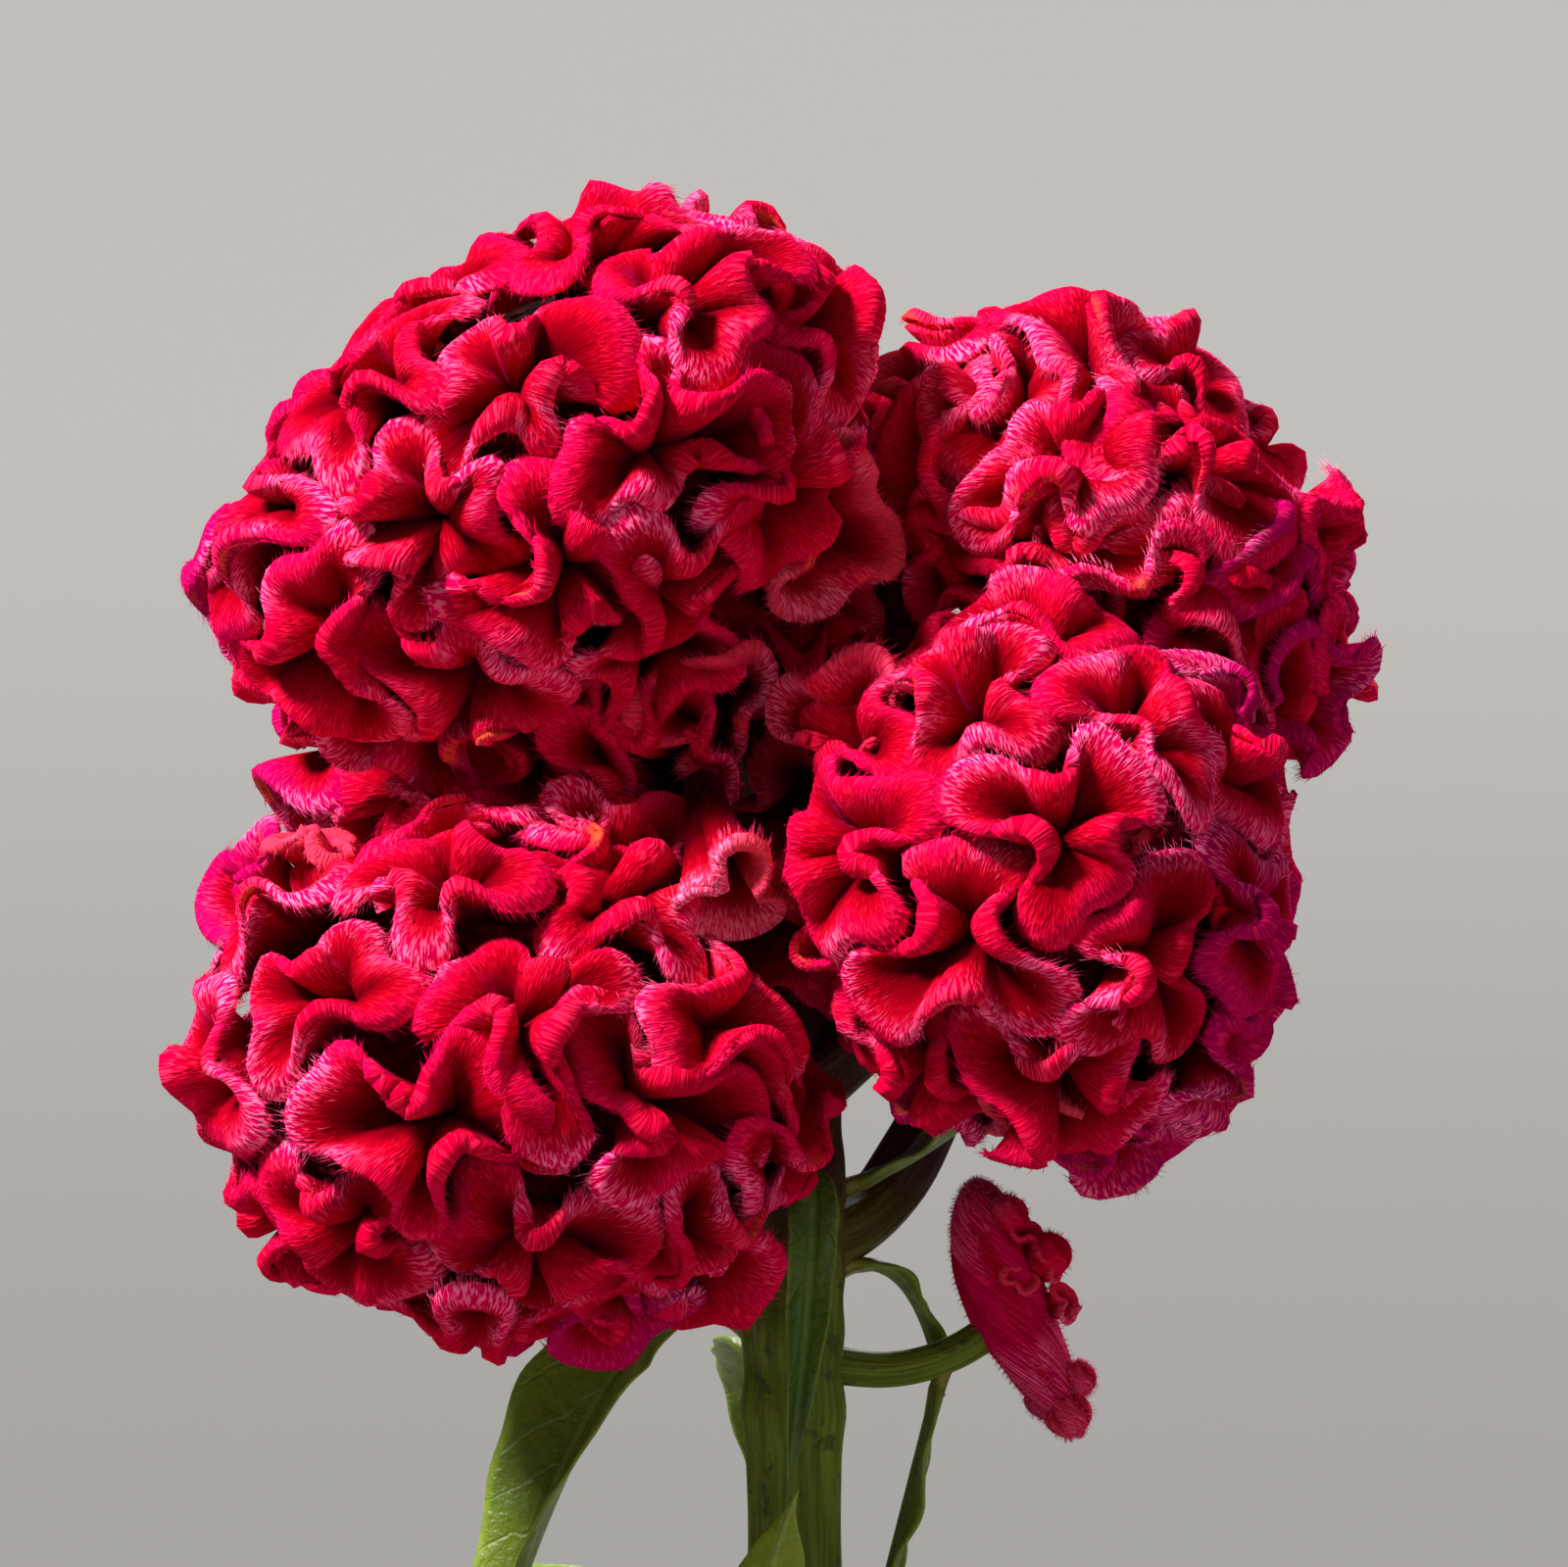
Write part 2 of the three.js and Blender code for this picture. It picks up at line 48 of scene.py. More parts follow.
def linear(red, green, blue):
    def channel(value):
        value = value / 255
        return value / 12.92 if value <= 0.04045 else ((value + 0.055) / 1.055) ** 2.4
    return (channel(red), channel(green), channel(blue), 1.0)


def fillInputs(tree, node, values):
    for key, value in values.items():
        place = int(key[5:]) if key.startswith("input") else key
        if isinstance(value, bpy.types.NodeSocket):
            tree.links.new(value, node.inputs[place])
        else:
            node.inputs[place].default_value = value


def addNode(tree, kind, settings=None, **inputs):
    made = tree.nodes.new("ShaderNode" + kind)
    for key, value in (settings or {}).items():
        setattr(made, key, value)
    fillInputs(tree, made, inputs)
    return made


def maths(tree, operation, first, second=0.0, clamp=False):
    made = addNode(tree, "Math", {"operation": operation, "use_clamp": clamp}, input0=first, input1=second)
    return made.outputs[0]


def multiply(tree, first, second):
    return maths(tree, "MULTIPLY", first, second)


def ramp(tree, factor, stops):
    made = addNode(tree, "ValToRGB", input0=factor)
    band = made.color_ramp
    while len(band.elements) < len(stops):
        band.elements.new(0.5)
    for element, (position, colour) in zip(band.elements, stops):
        element.position = position
        element.color = linear(*colour)
    return made.outputs[0]


# Each side is a socket or a colour as (red, green, blue) from 0 to 255
def mixColour(tree, factor, first, second):
    first, second = (linear(*side) if isinstance(side, tuple) else side for side in (first, second))
    made = addNode(tree, "Mix", {"data_type": "RGBA"}, input0=factor, input6=first, input7=second)
    return made.outputs[2]


def mapRange(tree, value, low, high, outLow=0.0, outHigh=1.0):
    made = addNode(tree, "MapRange", {"interpolation_type": "SMOOTHSTEP"}, input0=value, input1=low,
                   input2=high, input3=outLow, input4=outHigh)
    return made.outputs[0]


def separate(tree, vector):
    return addNode(tree, "SeparateXYZ", Vector=vector).outputs


def uvParts(tree, name):
    return separate(tree, addNode(tree, "UVMap", {"uv_map": name}).outputs[0])


def objectPlace(tree):
    return addNode(tree, "TexCoord").outputs["Object"]


def addBump(tree, shader, strength, distance, height):
    bump = addNode(tree, "Bump", Strength=strength, Distance=distance, Height=height)
    tree.links.new(bump.outputs[0], shader.inputs["Normal"])


def newMaterial(name):
    material = bpy.data.materials.new(name)
    material.use_nodes = True
    tree = material.node_tree
    return material, tree, tree.nodes["Principled BSDF"]


def nodeGroup(name, inputs, outputs):
    group = bpy.data.node_groups.new(name, "ShaderNodeTree")
    for label, kind in inputs:
        group.interface.new_socket(name=label, in_out="INPUT", socket_type="NodeSocket" + kind)
    for label in outputs:
        group.interface.new_socket(name=label, in_out="OUTPUT", socket_type="NodeSocketFloat")
    return group, group.nodes.new("NodeGroupInput"), group.nodes.new("NodeGroupOutput")


def placeGroup(tree, group, **inputs):
    made = tree.nodes.new("ShaderNodeGroup")
    made.node_tree = group
    fillInputs(tree, made, inputs)
    return made.outputs


# Small helpers for meshes

def unit(vectors):
    return vectors / np.maximum(np.linalg.norm(vectors, axis=-1, keepdims=True), 1e-12)


def addObject(name, data):
    made = bpy.data.objects.new(name, data)
    bpy.context.scene.collection.objects.link(made)
    return made


def finishPiece(name, mesh, material, nodeNames=(), smooth=True):
    piece = addObject(name, mesh)
    mesh.materials.clear()
    mesh.materials.append(material)
    mesh.polygons.foreach_set("use_smooth", [smooth] * len(mesh.polygons))
    mesh.polygons.foreach_set("material_index", [0] * len(mesh.polygons))
    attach(piece, "root")
    if nodeNames:
        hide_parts(*nodeNames)


# places and each of uvs are [row, column] grids; rows and columns that close on themselves are welded later
def gridInto(bm, places, uvs):
    rows, columns = places.shape[:2]
    sheet = bmesh.new()
    bmesh.ops.create_grid(sheet, x_segments=columns - 1, y_segments=rows - 1, size=1)
    mesh = plainMesh(sheet, "sheet")
    mesh.vertices.foreach_set("co", (places * mm).astype(np.float32).ravel())
    corner = np.empty(len(mesh.loops), np.int32)
    mesh.loops.foreach_get("vertex_index", corner)
    for name, grid in zip(("UVMap", "marks"), uvs):
        layer = mesh.uv_layers.new(name=name)
        layer.data.foreach_set("uv", grid.reshape(-1, 2)[corner].astype(np.float32).ravel())
    bm.from_mesh(mesh)
    bpy.data.meshes.remove(mesh)


def plainMesh(bm, name):
    mesh = bpy.data.meshes.new(name)
    bm.to_mesh(mesh)
    bm.free()
    return mesh


def weldedMesh(bm, name):
    bmesh.ops.remove_doubles(bm, verts=bm.verts, dist=weldDistance)
    bmesh.ops.recalc_face_normals(bm, faces=bm.faces)
    return plainMesh(bm, name)


print("helpers ready")

# The lobes of the flower head, in millimetres from the head's centre, as the solid part has them
lobeSizes = {
    "crest_upper_left": dict(
        centre=(-24.4, -8, 29.5), half=(40, 27, 24.5), tilt=30, root=(0, 12, -12), ridges=26),
    "crest_upper_right": dict(
        centre=(30.9, 4, 23.7), half=(30, 25, 22), tilt=-40, root=(16, 20, 0), ridges=20),
    "crest_right": dict(
        centre=(23.9, -16, -9.1), half=(27, 24, 30), tilt=0, root=(14, 20, -14), ridges=21),
    "crest_lower_left": dict(
        centre=(-28.7, -12, -27.8), half=(33.5, 27, 28.5), tilt=0, root=(-10, 18, -24), ridges=24),
    "crest_back_left": dict(
        centre=(-24.4, 33, 1), half=(30, 22, 33), tilt=0, root=(0, 26, -20), ridges=21),
    "crest_back_right": dict(
        centre=(25.4, 29, -9.6), half=(26, 20, 28), tilt=0, root=(3, 24, -30), ridges=17),
    "crest_middle": dict(
        centre=(5, 16, 22), half=(14, 17, 21), tilt=0, root=(2, 22, -20), ridges=7),
}
sideCrest = dict(
    centre=(22.5, 8, -51.7), half=(5, 5.4, 13.5), tilt=23, root=(18.9, 8.5, -54),
    thinning=0.42, bow=-1.6,  # narrower towards the lower end, its middle bowed to one side
    # folds have a count round the body, a phase, a twist and a depth
    folds=((2, 1.3, 2.0, 0.07), (5, 2.1, 3.6, 0.07), (9, 0.4, 6.5, 0.035)),
    # tint paints light: low values give a magenta reflection, high ones a salmon highlight
    grid=(72, 96), tint=0.16,
    tips=(((26.6, 7, -62.2), 2.3, 0.9), ((27.6, 7.6, -58.8), 1.8, 0.2), ((24.6, 8.5, -60.6), 2.2, 0.05),
          ((24.6, 6, -46.5), 2.3, 0.5), ((20.6, 5.6, -42.5), 2.0, 0.3)),  # round knobs: place, radius, tint
    tipGrid=(24, 32), tipFolds=((3, 0, 2, 0.08), (7, 1, 3, 0.05)),
    bellSize=0.4, pile=5200, tipPile=600, pileLength=(0.35, 0.8),
)
growth = dict(
    points=26,       # of each rim line
    link=4.0,        # a link's length at the end
    uneven=0.3,      # how much rim lines differ in length
    spacing=6.8,     # between two strands of one rim line
    apart=3.5,       # between two rim lines
    slack=1.15,      # strands feel each other at that many times their distance
    skip=1.4,        # along a line, points within that many times the reach don't push each other
    cover=2.5,       # the angle from the lobe's outer end that the lines may fill
    startSpread=0.82, startRadius=0.2, startNoise=0.1,
    steps=360, hold=0.85,
    pull=0.45, bending=0.075, repulsion=0.8, inward=14, longest=0.9,
    margin=0.6, lobeSize=28, outward=9,  # rim lines keep that far out of the other lobes
)


def shapeLobe(size):
    turn = -math.radians(size["tilt"])
    c, s = math.cos(turn), math.sin(turn)
    matrix = np.array([[c, 0, s], [0, 1, 0], [-s, 0, c]]) @ np.diag(np.array(size["half"], float))
    inverse = np.linalg.inv(matrix)
    centre = np.array(size["centre"], float)
    axis = unit(inverse @ unit(centre - np.array(size["root"], float)))
    side = unit(np.cross(axis, (0.1, 1, 0.2)))
    return dict(size, matrix=matrix, inverse=inverse, centre=centre, axis=axis, side=side,
                up=np.cross(axis, side))


def randomSequence(seed):
    state = seed
    while True:
        state = (state * 1664525 + 1013904223) % 4294967296
        yield state / 4294967296


def startingRings(lobe, seed):
    draw = randomSequence(seed)
    count = growth["points"]
    t = fullTurn * np.arange(count) / count
    rings = []
    for ring in range(lobe["ridges"]):
        phases = [next(draw) * phaseSpan for _ in range(10)]
        polar = growth["cover"] * growth["startSpread"] * math.sqrt((ring + 0.35) / lobe["ridges"])
        turn = ring * 2.39996 + seed  # the golden angle
        aside = lobe["side"] * math.cos(turn) + lobe["up"] * math.sin(turn)
        middle = lobe["axis"] * math.cos(polar) + math.sin(polar) * aside
        across = unit(np.cross(middle, (0.3, 0.2, 0.93)))
        along = np.cross(middle, across)
        wobble = sum(np.sin((k + 2) * t + phase) for k, phase in enumerate(phases))
        radius = (growth["startRadius"] * (1 + growth["startNoise"] * wobble))[:, None]
        circle = across * np.cos(t)[:, None] + along * np.sin(t)[:, None]
        rings.append(middle * np.cos(radius) + circle * np.sin(radius))
    return np.concatenate(rings)


# Rim lines that lengthen until they fill the lobe: links pull to length, bends stiffen, strands keep apart
def growRidges(lobe, others, seed):
    count = growth["points"]
    sphere = startingRings(lobe, seed)
    index = np.arange(len(sphere))
    ridge = index // count
    step = {k: ridge * count + (index - ridge * count + k) % count for k in (-2, -1, 1, 2)}
    gap = np.abs(index[:, None] - index[None])
    elsewhere = 10 ** 6  # stands for the distance along the line to a point of another line
    apart = np.where(ridge[:, None] == ridge[None], np.minimum(gap, count - gap), elsewhere)
    points = sphere @ lobe["matrix"].T + lobe["centre"]
    startLink = np.linalg.norm(points - points[step[1]], axis=1).mean()
    shares = np.array([1 + growth["uneven"] * math.sin(2.4 * k + seed) for k in range(lobe["ridges"])])
    shares = shares[ridge][:, None]
    for k in range(growth["steps"]):
        grown = min(1, k / (growth["steps"] * growth["hold"]))
        link = startLink + (growth["link"] - startLink) * grown
        distances = np.where(apart < elsewhere, growth["spacing"], growth["apart"])
        reach = distances * growth["slack"] * (0.5 + 0.5 * grown)
        skip = growth["spacing"] * growth["slack"] * (0.5 + 0.5 * grown) * growth["skip"] / link
        force = np.zeros_like(points)
        for side in (1, -1):
            away = points[step[side]] - points
            length = np.linalg.norm(away, axis=1, keepdims=True)
            force += away * growth["pull"] * (length - link * shares) / length
        near, far = 4 * points[step[1]], 4 * points[step[-1]]
        force -= growth["bending"] * (6 * points - near - far + points[step[2]] + points[step[-2]])
        square = (points ** 2).sum(1)
        distance = np.sqrt(np.maximum(square[:, None] + square[None] - 2 * points @ points.T, 0)) + 1e-9
        close = (distance < reach) & (apart > skip)
        push = np.where(close, growth["repulsion"] * (1 - distance / reach) / distance, 0)
        force += points * push.sum(1)[:, None] - push @ points
        level = sphere @ lobe["axis"]
        inward = unit((lobe["axis"] - sphere * level[:, None]) @ lobe["matrix"].T)
        force += inward * growth["inward"] * np.maximum(0, math.cos(growth["cover"]) - level)[:, None]
        for other in others:
            away = points - other["centre"]
            depth = np.linalg.norm(away @ other["inverse"].T, axis=1)
            inside = np.maximum(0, 1 + growth["margin"] / growth["lobeSize"] - depth)
            force += unit(away) * growth["outward"] * inside[:, None]
        size = np.linalg.norm(force, axis=1, keepdims=True)
        force *= np.minimum(1, growth["longest"] / np.maximum(size, 1e-9))
        sphere = unit((points + force - lobe["centre"]) @ lobe["inverse"].T)
        points = sphere @ lobe["matrix"].T + lobe["centre"]
    sphere = unit(2 * sphere + sphere[step[1]] + sphere[step[-1]])
    return sphere.reshape(-1, count, 3)


lobes = {name: shapeLobe(size) for name, size in lobeSizes.items()}
rims = {}
for number, (name, lobe) in enumerate(lobes.items()):
    rims[name] = growRidges(lobe, [other for key, other in lobes.items() if key != name], 11 + number)
lobes["crest_side"] = shapeLobe(sideCrest)
print("rim lines grown")


# The crest's bells: a rim line flares out of a narrow throat, as the folded tissue does
bell = dict(
    step=1.05,        # between stations along a rim
    calm=5.5,         # smoothing that a rim's scallops are measured against
    scallop=2.5,      # how far a full scallop stands out of the smoothed rim
    throat=13.0,      # smoothing of the throat's outline
    throatShare=0.3,  # the throat's width, as a share of that outline
    foot=0.62,        # where the throat ends, as a share of the lobe's size
    flare=1.45,
    rise=1.3,
    rimInset=0.6,     # below the solid's lips; the pile fills it
    dip=3.2,          # a scallop hangs that much lower than a notch
    wander=2.2,
    proud=2.8,        # how much a whole bell may stand higher than its neighbours
    tilt=3.4,         # one side of a bell stands higher and covers its neighbour
    overlap=2.2,      # how far a scallop reaches over its neighbour
    curl=1.2,
    curlDepth=0.2,
    bulge=0.8,
    ruffle=0.5,
    pleat=0.05,
    levels=(0, 0.02, 0.07, 0.15, 0.27, 0.42, 0.6, 0.8, 1.0),
    thin=(0.1, 0.26, 0.4, 0.5, 0.6, 0.75, 0.95, 1.1, 1.2),      # half thickness, rim to foot, at scallops
    rolled=(0.12, 0.7, 1.05, 1.15, 1.15, 1.1, 1.1, 1.15, 1.2),  # and at notches
    pleatShares=(1, 1, 1, 1, 1, 0.8, 0.5, 0.2, 0),
    # painted reflection: bells that face the side or down draw low tints, which give them a magenta cast near
    # the rim, as if cool light reflected off their undersides
    edge=0.7,         # bells that face more to the side or down than this are magenta
    edgeTints=(0.03, 0.24),
    tints=(0.24, 0.88),
    seed=7,
)


def closedSpline(points, perLink):
    t = (np.arange(perLink) / perLink)[None, :, None]
    before, here, after, last = (np.roll(points, -k, 0)[:, None] for k in (-1, 0, 1, 2))
    curve = 0.5 * (2 * here + (after - before) * t + (2 * before - 5 * here + 4 * after - last) * t ** 2
                   + (3 * here - before - 3 * after + last) * t ** 3)
    return curve.reshape(-1, 3)


def softenLoop(values, sigma):
    frequency = np.fft.rfftfreq(len(values))
    weight = np.exp(-2 * (math.pi * sigma * frequency) ** 2)
    return np.fft.irfft(np.fft.rfft(values, axis=0) * weight[:, None], n=len(values), axis=0)


# Smooth, about -1 to 1, and closes on itself
def loopNoise(rng, arc, length, shortest, longest, waves):
    total = np.zeros_like(arc)
    for _ in range(waves):
        wavelength = math.exp(rng.uniform(math.log(shortest), math.log(longest)))
        cycles = max(1, round(length / wavelength))
        total += np.sin(fullTurn * cycles * arc / length + rng.uniform(0, phaseSpan))
    return total / math.sqrt(waves) * 0.9


def evenLoop(curve, step):
    links = np.linalg.norm(np.roll(curve, -1, 0) - curve, axis=1)
    length = links.sum()
    count = int(length / step)
    travelled = np.concatenate([[0], np.cumsum(links)])
    closed = np.concatenate([curve, curve[:1]])
    arc = np.arange(count) * length / count
    return np.stack([np.interp(arc, travelled, closed[:, k]) for k in range(3)], 1), arc, length


# A bell from its rim, the direction out of the lobe, its throat's upper end and its foot
def flareBell(rim, arc, length, outward, throatTop, foot, rng, size, tint):
    middle = rim.mean(0)
    calm = softenLoop(rim, bell["calm"] * size * len(arc) / length)
    away = calm - middle
    away = unit(away - outward * (away * outward).sum(1, keepdims=True))
    scallop = np.clip(((rim - calm) * away).sum(1) / (bell["scallop"] * size), -1, 1)

    def along(shortest, longest, waves=6):
        return loopNoise(rng, arc, length, shortest * size, longest * size, waves)

    lean = (away * unit(rng.normal(size=3))).sum(1)
    uneven = bell["wander"] * np.clip(along(14, 40), 0, 1) + bell["tilt"] * (1 + lean) * 0.5
    uneven = uneven - bell["proud"] * rng.uniform(0, 1)
    inset = size * (bell["rimInset"] + bell["dip"] * (0.5 + 0.5 * scallop) + uneven)
    reach = size * (bell["overlap"] * np.maximum(scallop - 0.05, 0) + bell["ruffle"] * along(6, 14))
    aside = np.cross(np.roll(rim, -1, 0) - np.roll(rim, 1, 0), outward)
    aside = unit(aside * np.sign((aside * away).sum()) + away * 0.3)
    rimTop = rim - outward * inset[:, None] + aside * reach[:, None]
    width = 1 + 0.2 * along(12, 30)
    pleats = bell["pleat"] * along(1.9, 3.4, 8)
    curl = bell["curl"] * size * (0.4 + 0.6 * np.maximum(scallop, 0))
    middles = []
    for level in bell["levels"]:
        share = 1 - level
        bulge = bell["bulge"] * size * 6.75 * share ** 2 * level  # 6.75 brings its highest point to 1
        lift = bulge - curl * max(0, 1 - level / bell["curlDepth"]) ** 2
        throat = foot + (throatTop - foot) * (1 - level ** bell["rise"])
        middles.append(throat + (rimTop - throatTop) * share ** bell["flare"] + outward * lift[:, None])
    middles = np.stack(middles, 1)
    lengthwise = np.roll(middles, -1, 0) - np.roll(middles, 1, 0)
    sideways = unit(np.cross(lengthwise, np.gradient(middles, axis=1)))
    notch = np.clip(0.3 - scallop, 0, 1)
    thin, rolled = np.array(bell["thin"]), np.array(bell["rolled"])
    halves = (thin + (rolled - thin) * notch[:, None]) * size
    halves = halves * (width[:, None] + pleats[:, None] * np.array(bell["pleatShares"]))
    left = middles + sideways * halves[..., None]
    right = middles - sideways * halves[..., None]
    steps = np.linalg.norm(np.diff(middles, axis=1), axis=2)
    depth = np.concatenate([np.zeros((len(arc), 1)), np.cumsum(steps, 1)], 1) / size

    def wrap(first, second):
        rows = np.concatenate([first[:, ::-1], second, first[:, -1:]], 1)
        return np.concatenate([rows, rows[:1]], 0)

    places = wrap(left, right)
    alongs = np.repeat(np.append(arc, length)[:, None] / size, places.shape[1], 1)
    notches = notch[:, None] * np.ones_like(depth)
    marks = np.stack([wrap(notches, notches), np.full_like(alongs, tint)], -1)
    info = dict(size=size, middles=middles, sideways=sideways, halves=halves, depth=depth, outward=outward,
                notch=notch, tint=tint, length=length)
    return places, [np.stack([alongs, wrap(depth, depth)], -1), marks], info


def lobeBell(lobe, ringOnSphere, rng):
    inverse, matrix = lobe["inverse"].T, lobe["matrix"].T
    rim, arc, length = evenLoop(unit(closedSpline(ringOnSphere, 24)) @ matrix, bell["step"])
    outward = unit(rim @ inverse @ lobe["inverse"])
    facing = outward.mean(0)
    away = facing[0] * np.sign(lobe["centre"][0])
    down = -facing[2] if lobe["centre"][2] < 0 else 0
    edge = max(away, down) > bell["edge"]
    middle = rim.mean(0)
    outline = softenLoop(rim, bell["throat"] * len(arc) / length)
    throat = unit((middle + (outline - middle) * bell["throatShare"]) @ inverse) @ matrix
    place = lobe["centre"] + headCentre
    throatTop, foot = throat * 0.97 + place, throat * bell["foot"] + place
    # low tints paint a magenta reflection on side- and down-facing bells
    tint = rng.uniform(*bell["edgeTints" if edge else "tints"])
    return flareBell(rim + place, arc, length, outward, throatTop, foot, rng, 1.0, tint)


# Bells that grow beside the lobes, in millimetres from the head's centre: they hang in the cleft and stand
# off the sides. Each has a centre, the direction that it faces, a radius, a root and a tint.
# The tint paints light: below 0.24 a magenta reflection near the rim, above 0.86 a salmon highlight on the
# lips.
extraBells = {
    "crest_upper_left": [
        ((5, -15, 24), (0.45, -0.85, -0.3), 7.5, (-9, -2, 26), 0.97),
        ((-13, -20, 12), (0.2, -0.95, -0.3), 8, (-16, -2, 18), 0.5),
        ((-7, -16, 6), (0.45, -0.85, -0.2), 6.5, (-7, 5, 10), 0.92),
        ((-14, -14, 0), (0.1, -0.9, -0.4), 8, (-9, 6, 3), 0.6),
        ((-24, -14, 2), (-0.1, -0.9, -0.4), 7, (-22, 6, 8), 0.3),
        ((-38, -14, 5), (-0.1, -0.85, -0.5), 7.5, (-34, -4, 14), 0.18),
    ],
    "crest_lower_left": [
        ((-5.5, -25, -14), (0.15, -0.55, -0.8), 4.2, (-9, -14, 0), 0.97),
        ((-15, -21, -5), (0.2, -0.85, 0.5), 7, (-18, -8, -16), 0.55),
        ((-58, -9, -9.5), (-0.9, -0.4, 0.2), 5.6, (-44, -6, -15), 0.12),
        ((-47, -14, 0), (-0.1, -0.35, 0.93), 3.8, (-42, -8, -14), 0.94),
        ((-33, -15, 0), (0.1, -0.8, 0.6), 6, (-30, -6, -12), 0.5),
        ((-7, -15, -52.5), (0.4, -0.6, -0.7), 6.2, (-15, -10, -38), 0.3),
        ((-17, -14, -55), (0.1, -0.55, -0.83), 6.5, (-20, -10, -40), 0.08),
        ((-30, -13, -55), (-0.1, -0.55, -0.85), 5.5, (-28, -10, -42), 0.02),
    ],
    "crest_right": [
        ((1, -22, 7), (-0.6, -0.75, 0.2), 6.5, (14, -8, 0), 0.91),
        ((0.5, -21, -8), (-0.7, -0.7, -0.1), 5.5, (14, -10, -8), 0.5),
        ((4.5, -19, -22), (-0.6, -0.75, -0.25), 6, (16, -8, -16), 0.6),
        ((49.5, -15, 1), (0.85, -0.5, 0.15), 5.2, (36, -12, -4), 0.4),
        ((48, -17, -9), (0.85, -0.5, -0.1), 5, (34, -12, -10), 0.6),
        ((47, -14, -24), (0.8, -0.5, -0.4), 6, (34, -10, -16), 0.05),
        ((40, -16, -34), (0.6, -0.5, -0.6), 5.5, (30, -12, -22), 0.12),
        ((23.5, -25, -36.5), (0, -0.5, -0.87), 6, (22, -14, -20), 0.95),
        ((31, -18, -38), (0.2, -0.5, -0.85), 5.8, (27, -12, -26), 0.03),
    ],
    "crest_upper_right": [
        ((13, -12, 22), (-0.55, -0.8, -0.1), 6, (24, 6, 22), 0.5),
        ((23.5, -17, 17), (-0.1, -0.9, -0.4), 7, (27, 2, 21), 0.7),
        ((34, -18, 14.5), (0.1, -0.9, -0.4), 7, (33, 2, 19), 0.35),
        ((43.5, -16, 12.5), (0.4, -0.8, -0.45), 6.5, (38, 2, 17), 0.15),
        ((52, -9, 7), (0.7, -0.6, -0.4), 7, (41, 4, 14), 0.04),
        ((56.5, -5, 24), (0.95, -0.3, 0.1), 5.5, (42, 4, 24), 0.3),
        ((11.5, -4, 42), (-0.25, -0.7, 0.65), 5.2, (21, 6, 31), 0.95),
    ],
    "crest_middle": [
        ((1, 4, 7), (0, -0.95, -0.3), 8, (3, 16, 12), 0.4),
        ((0, 1, -5), (0, -0.95, -0.3), 7.5, (2, 14, 2), 0.4),
        ((-1, 0, -16), (0.1, -0.95, -0.3), 6.5, (1, 14, -6), 0.4),
    ],
    "crest_side": [
        ((23.5, 3.6, -42.5), (0.45, -0.7, 0.5), 1.7, (20, 7, -46), 0.9),
        ((26.3, 4, -46), (0.75, -0.65, 0.2), 1.8, (22, 8, -49), 0.93),
        ((28, 4.6, -50.5), (0.85, -0.5, 0.1), 1.7, (23, 8, -52), 0.9),
        ((22.3, 2.6, -48), (0.2, -0.95, 0.2), 1.5, (21.5, 7, -49), 0.93),
    ],
}


def extraBell(centre, face, radius, root, tint, size, rng):
    centre = headCentre + np.array(centre, float)
    root = headCentre + np.array(root, float)
    face = unit(np.array(face, float))
    first = unit(np.cross(face, (0.1, 0.2, 1)))
    second = np.cross(face, first)
    turn = np.linspace(0, fullTurn, 240, endpoint=False)[:, None]
    scallops = max(3, round(radius * 0.5 / size))
    phase = rng.uniform(0, phaseSpan, 2)
    wavy = 1 + 0.24 * np.sin(scallops * turn + phase[0]) + 0.14 * np.sin((scallops + 1) * turn + phase[1])
    circle = first * np.cos(turn) + second * np.sin(turn)
    rim, arc, length = evenLoop(centre + circle * (radius * wavy), bell["step"] * size)
    spread = unit(rim - centre)
    throatTop = centre - face * 3 * size + spread * radius * 0.22
    foot = root + spread * radius * 0.16
    return flareBell(rim, arc, length, unit(face + 0.3 * spread), throatTop, foot, rng, size, tint)


# The pile: fine tapered bristles, a fringe at each rim and a nap on the faces, all leaning to the rim
pile = dict(
    fringe=8.0, nap=1.6,         # hairs per millimetre of rim
    shortest=0.9, longest=2.1,
    atNotch=0.45, napLength=0.7,  # shares of that length
    radius=0.05,
    rimDepth=0.03, deepest=0.34,  # shares of the way from the rim to the foot
    flipRim=0.5, flipNap=0.12,    # share of the hairs on the side that looks into the lobe
    lean=0.42, scatter=0.13,
    rooted=0.12,                  # how far a hair starts below the surface
    farShare=0.5,                 # fewer hairs on the back and middle lobes
    seed=21,
)


